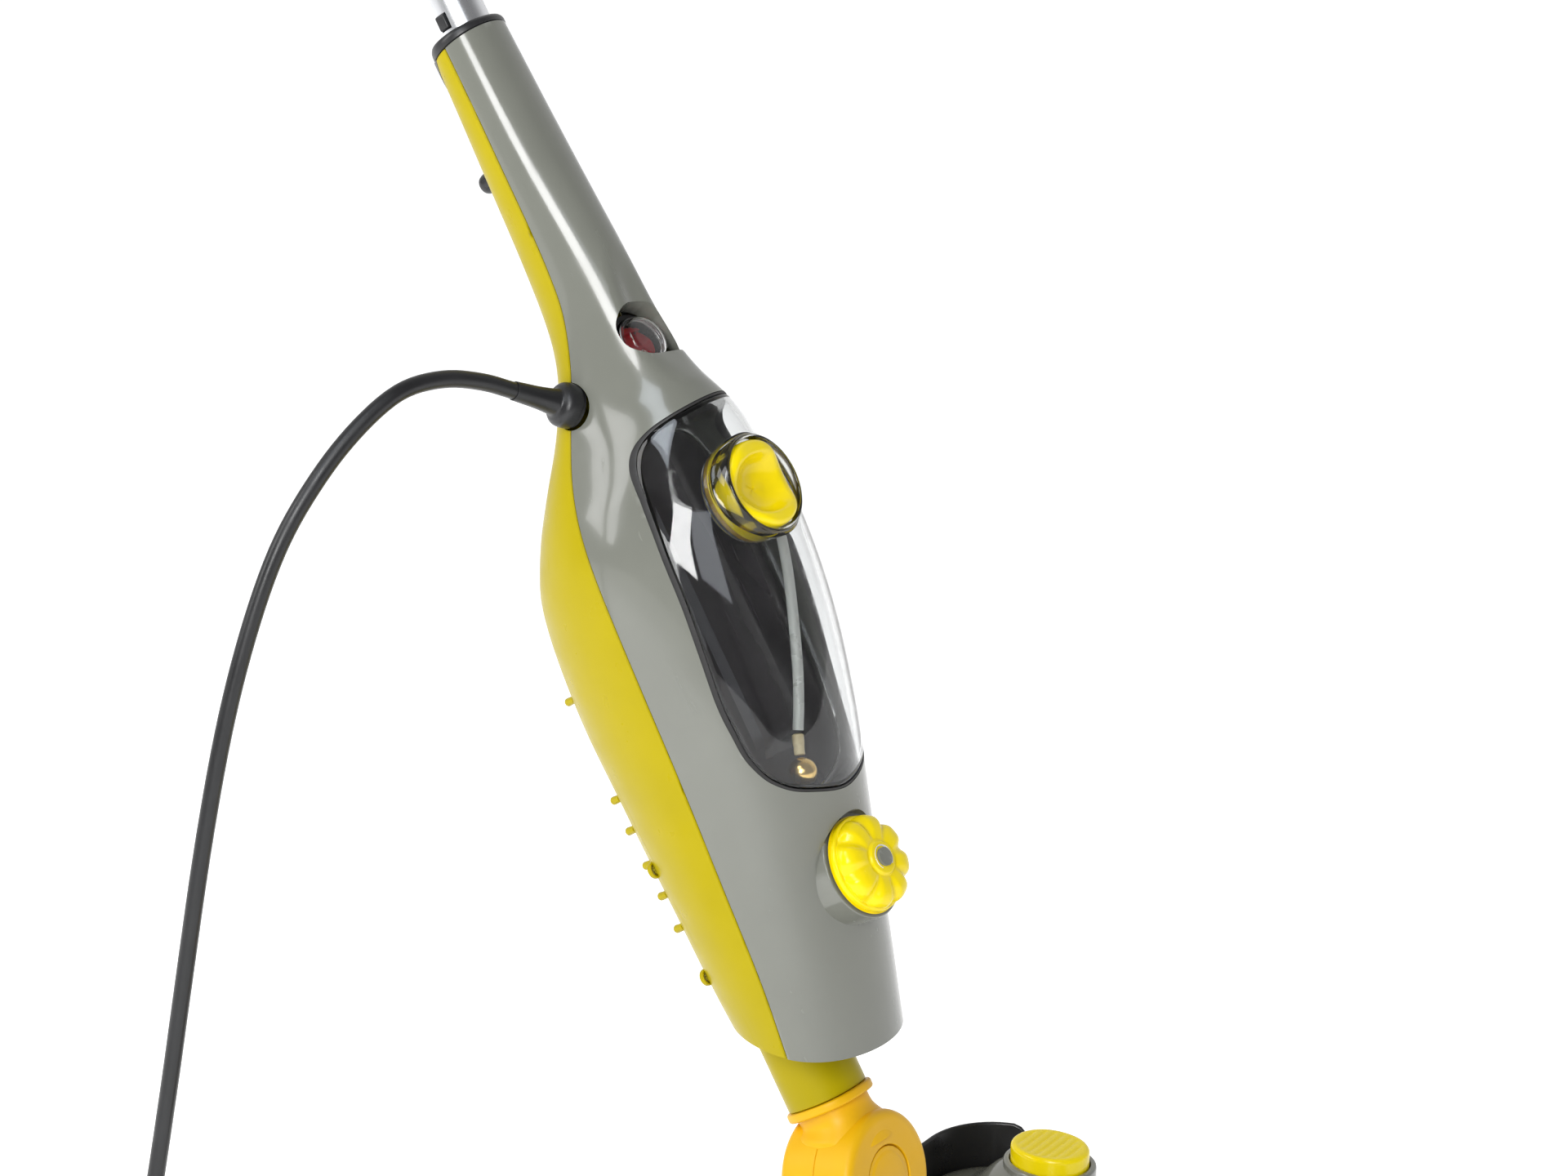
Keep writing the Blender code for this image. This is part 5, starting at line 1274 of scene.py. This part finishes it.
def coil_points():
    """Clockwise turns from the landing: four columns in and out, a diameter apart, in four layers."""
    centre = coil_centre() / MM
    start = math.atan2(EXIT_SIDE.x, -EXIT_SIDE.y)
    columns = [60, 52, 44, 36]
    turns = [(r, 4 + 8 * layer) for layer in range(4) for r in (columns if layer % 2 == 0 else columns[::-1])]
    turns = turns[:15]
    finish_angle = math.radians(117)
    total = TURN * 14 + (start - finish_angle) % TURN
    points = []
    count = round(total / math.radians(12))
    for k in range(1, count + 1):
        gone = total * k / count
        turn = min(int(gone / TURN), len(turns) - 1)
        share = gone / TURN - turn
        radius, height = turns[turn]
        if share > 0.84 and turn + 1 < len(turns):
            u = (share - 0.84) / 0.16
            u = u * u * (3 - 2 * u)
            radius += (turns[turn + 1][0] - radius) * u
            height += (turns[turn + 1][1] - height) * u
        left = total - gone
        lift = max(0.0, 1 - left / math.radians(95))
        lift = lift * lift * (3 - 2 * lift)
        radius += (46.6 - radius) * lift
        height += (COIL_HEIGHT + 12.4 - height) * lift
        angle = start - gone
        points.append(Vector((centre.x + radius * math.cos(angle), centre.y + radius * math.sin(angle),
                              height)))
    return points


def power_cord():
    """Out of the gland, down to the floor and into the coil, then up into the plug."""
    base = GLAND_POINT / MM
    lead = [base + GLAND_AXIS * 12, base + GLAND_AXIS * GLAND_LENGTH]
    lead += [base + EXIT_SIDE * out + Vector((0, 0, rise)) for out, rise in CORD_DROP]
    lead = smooth_points(lead, 3)
    landing = base + EXIT_SIDE * CORD_LANDS
    lead = [p for p in lead if (p - base).to_2d().length < CORD_LANDS - 8]
    route = lead + [Vector((landing.x, landing.y, CORD_DIAMETER / 2))] + coil_points()
    plug_rear = plug_frame() @ Vector((-21 * MM, 0, 0)) / MM
    route.append(plug_rear)
    curve = bpy.data.curves.new("power_cord_skin", "CURVE")
    curve.dimensions = "3D"
    curve.bevel_depth = CORD_DIAMETER / 2 * MM
    curve.bevel_resolution = 5
    curve.use_fill_caps = True
    line = curve.splines.new("POLY")
    dense = smooth_points(route, 2)
    line.points.add(len(dense) - 1)
    for point, place in zip(line.points, dense):
        point.co = (*(place * MM), 1)
    line.use_smooth = True
    curve.materials.append(FINISH["cord_black"])
    cord = bpy.data.objects.new("power_cord_skin", curve)
    bpy.context.scene.collection.objects.link(cord)
    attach(cord, "mop_body")
    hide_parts("power_cord", "cord_coil")
    gland, plug = cord_gland(), mains_plug()


def cord_gland():
    """Rounded flange with a slim sleeve that tapers into the cord."""
    profile = rounded([(4.05, 32), (4.45, 32), (5.2, 18), (6.3, 9.2), (8.6, 8.2), (10.1, 6.6), (10.5, 4.6),
                       (10.5, 0.6), (9.6, 0.2), (9.6, -1.6), (4.05, -1.6)],
                      [0.2, 0.3, 4, 1.8, 1, 1, 0.8, 0.3, 0, 0, 0], 4, True)
    return skin("cord_gland", turned(profile, 72, closed=True), GLAND, "cord_black")


def plug_frame():
    middle = coil_centre() + Vector((0, 46, COIL_HEIGHT + 12.4)) * MM
    return Matrix.Translation(middle) @ Matrix.Rotation(math.radians(12), 4, "Z")


def mains_plug():
    """Moulded two-pin plug with a waist for the fingers and a ribbed sleeve for the cord."""
    rows = []
    sections = ((-22, 4.4, 4.4, 2.0), (-20, 6.4, 6.2, 2.2), (-16, 7.0, 6.8, 2.3), (-13, 8.6, 8.2, 2.6),
                (-8, 10.4, 9.6, 3.2), (0, 9.6, 9.2, 3.4), (8, 10.8, 10.4, 3.8), (14, 11.8, 11.6, 4.2),
                (19, 11.9, 11.8, 4.4), (21, 11.6, 11.5, 4.2), (22, 10.6, 10.6, 4.0))
    for x, half_y, half_z, power in smooth_sections(sections):
        rows.append([(x, y, z) for y, z in oval(half_y, half_z, 64, power)])
    body = mesh_from(rows)
    grooves = [cut(turned_x(rounded([(9, -0.7), (9, 0.7), (5.6, 0.7), (5.6, -0.7)], 0.3, 3, True), x))
               for x in (-19.2, -16.6, -14.0)]
    body = combined(body, *grooves, edge=0.25)
    plug = skin("mains_plug", body, plug_frame(), "cord_black", angle=45)
    prongs = []
    sleeves = []
    for side in (-6, 6):
        turn = Matrix.Translation((0, side, 0)) @ Matrix.Rotation(math.pi / 2, 4, "Y")
        prongs.append((rod(2.35, 20, 43.6, 0.9, 32), turn))
        sleeves.append((rod(2.4, 20, 31, 0.2, 32), turn))
    for name, meshes, look in (("plug_prongs", prongs, "steel"),
                               ("plug_prong_sleeves", sleeves, "cord_black")):
        part = piece(name, joined(*meshes), plug_frame(), look, "mop_body")
        part.parent = plug
        part.matrix_parent_inverse = plug.matrix_world.inverted()
    return plug


def smooth_sections(sections):
    return smooth_points([Vector(s) for s in sections], 3)


def turned_x(profile, at):
    mesh = turned(profile, 64, closed=True)
    mesh.transform(Matrix.Translation((at, 0, 0)) @ Matrix.Rotation(math.pi / 2, 4, "Y"))
    return mesh


# ---- stage ----------------------------------------------------------------------------------------


ROOM_DIM, ROOM_BRIGHT = 0.22, 0.8


def camera():
    target = Vector((-0.0407, 0, 0.3703))
    azimuth, elevation, away = math.radians(35), math.radians(18), 1.6
    back = Vector((math.sin(azimuth) * math.cos(elevation), -math.cos(azimuth) * math.cos(elevation),
                   math.sin(elevation)))
    lens = bpy.data.cameras.new("camera")
    lens.lens = 81
    seen = bpy.data.objects.new("camera", lens)
    bpy.context.scene.collection.objects.link(seen)
    seen.location = target + back * away
    seen.rotation_mode = "QUATERNION"
    seen.rotation_quaternion = (-back).to_track_quat("-Z", "Y")
    bpy.context.scene.camera = seen


def lamp(name, location, aim, size, power, colour=(1, 1, 1)):
    light = bpy.data.lights.new(name, "AREA")
    light.shape = "RECTANGLE"
    light.size, light.size_y = size
    light.energy = power
    light.color = colour
    obj = bpy.data.objects.new(name, light)
    bpy.context.scene.collection.objects.link(obj)
    obj.location = location
    obj.rotation_mode = "QUATERNION"
    obj.rotation_quaternion = (Vector(aim) - Vector(location)).to_track_quat("-Z", "Y")
    return obj


def softbox(name, azimuth, elevation, size, glow, colour=(1, 1, 1)):
    """A lit panel on a sphere around the object, seen in reflections only. Glow is its brightness."""
    angle, rise = math.radians(azimuth), math.radians(elevation)
    middle = Vector((-0.1, 0, 0.4))
    outward = Vector((math.sin(angle) * math.cos(rise), -math.cos(angle) * math.cos(rise), math.sin(rise)))
    panel = lamp(name, middle + outward * 2.2, middle, size, glow * math.pi * size[0] * size[1], colour)
    panel.visible_camera = False


def white_room():
    """A world that is white to look at, bright behind the object and dim on the side of the camera."""
    world = bpy.data.worlds.new("studio")
    world.use_nodes = True
    tree = world.node_tree
    away = add(tree, "ShaderNodeVectorMath", {0: add(tree, "ShaderNodeTexCoord").outputs["Generated"],
                                              1: (-0.574, 0.819, 0.0)},
               operation="DOT_PRODUCT").outputs["Value"]
    glow = spread(tree, away, ROOM_DIM, ROOM_BRIGHT, -0.1, 0.6)
    seen = add(tree, "ShaderNodeLightPath").outputs["Is Camera Ray"]
    strength = add(tree, "ShaderNodeMath", {0: glow, 1: seen}, operation="MAXIMUM").outputs[0]
    tree.links.new(strength, tree.nodes["Background"].inputs["Strength"])
    tree.nodes["Background"].inputs["Color"].default_value = (1, 1, 1, 1)
    bpy.context.scene.world = world


def studio():
    half = 9000
    floor = bpy.data.objects.new("floor", slab([(-half, -half), (half, -half), (half, half), (-half, half)],
                                               -20, -0.4))
    floor.data.transform(Matrix.Scale(MM, 4))
    _, pale = finish("floor_pale", (0.93, 0.93, 0.93), 0.7, 0.004, (200, 0.002))
    pale.node_tree.nodes["Principled BSDF"].inputs["Emission Color"].default_value = (1, 1, 1, 1)
    pale.node_tree.nodes["Principled BSDF"].inputs["Emission Strength"].default_value = 0.62
    floor.data.materials.append(pale)
    bpy.context.scene.collection.objects.link(floor)
    white_room()
    bpy.context.scene.view_settings.view_transform = "Standard"
    softbox("key_panel", 20, 25, (0.6, 1.1), 14.0)
    softbox("side_panel", 40, 25, (0.7, 1.0), 2.0, (0.88, 0.93, 1.0))
    softbox("left_panel", -42, 25, (0.8, 1.2), 4.5)
    softbox("umbrella", -4, 50, (0.7, 0.7), 6.0, (0.85, 0.92, 1.0))


camera()
power_cord()
front_cover()
back_cover()
cover_screws()
bottom_plate()
neck_collar()
release_button()
steam_knob()
water_tank()
tank_gasket()
tank_tray()
filler_cap()
tank_hose()
power_switch()
inner_works()
connector()
knuckle()
yoke()
head_deck()
clip_buttons()
head_base()
mop_pad()
handle()
studio()
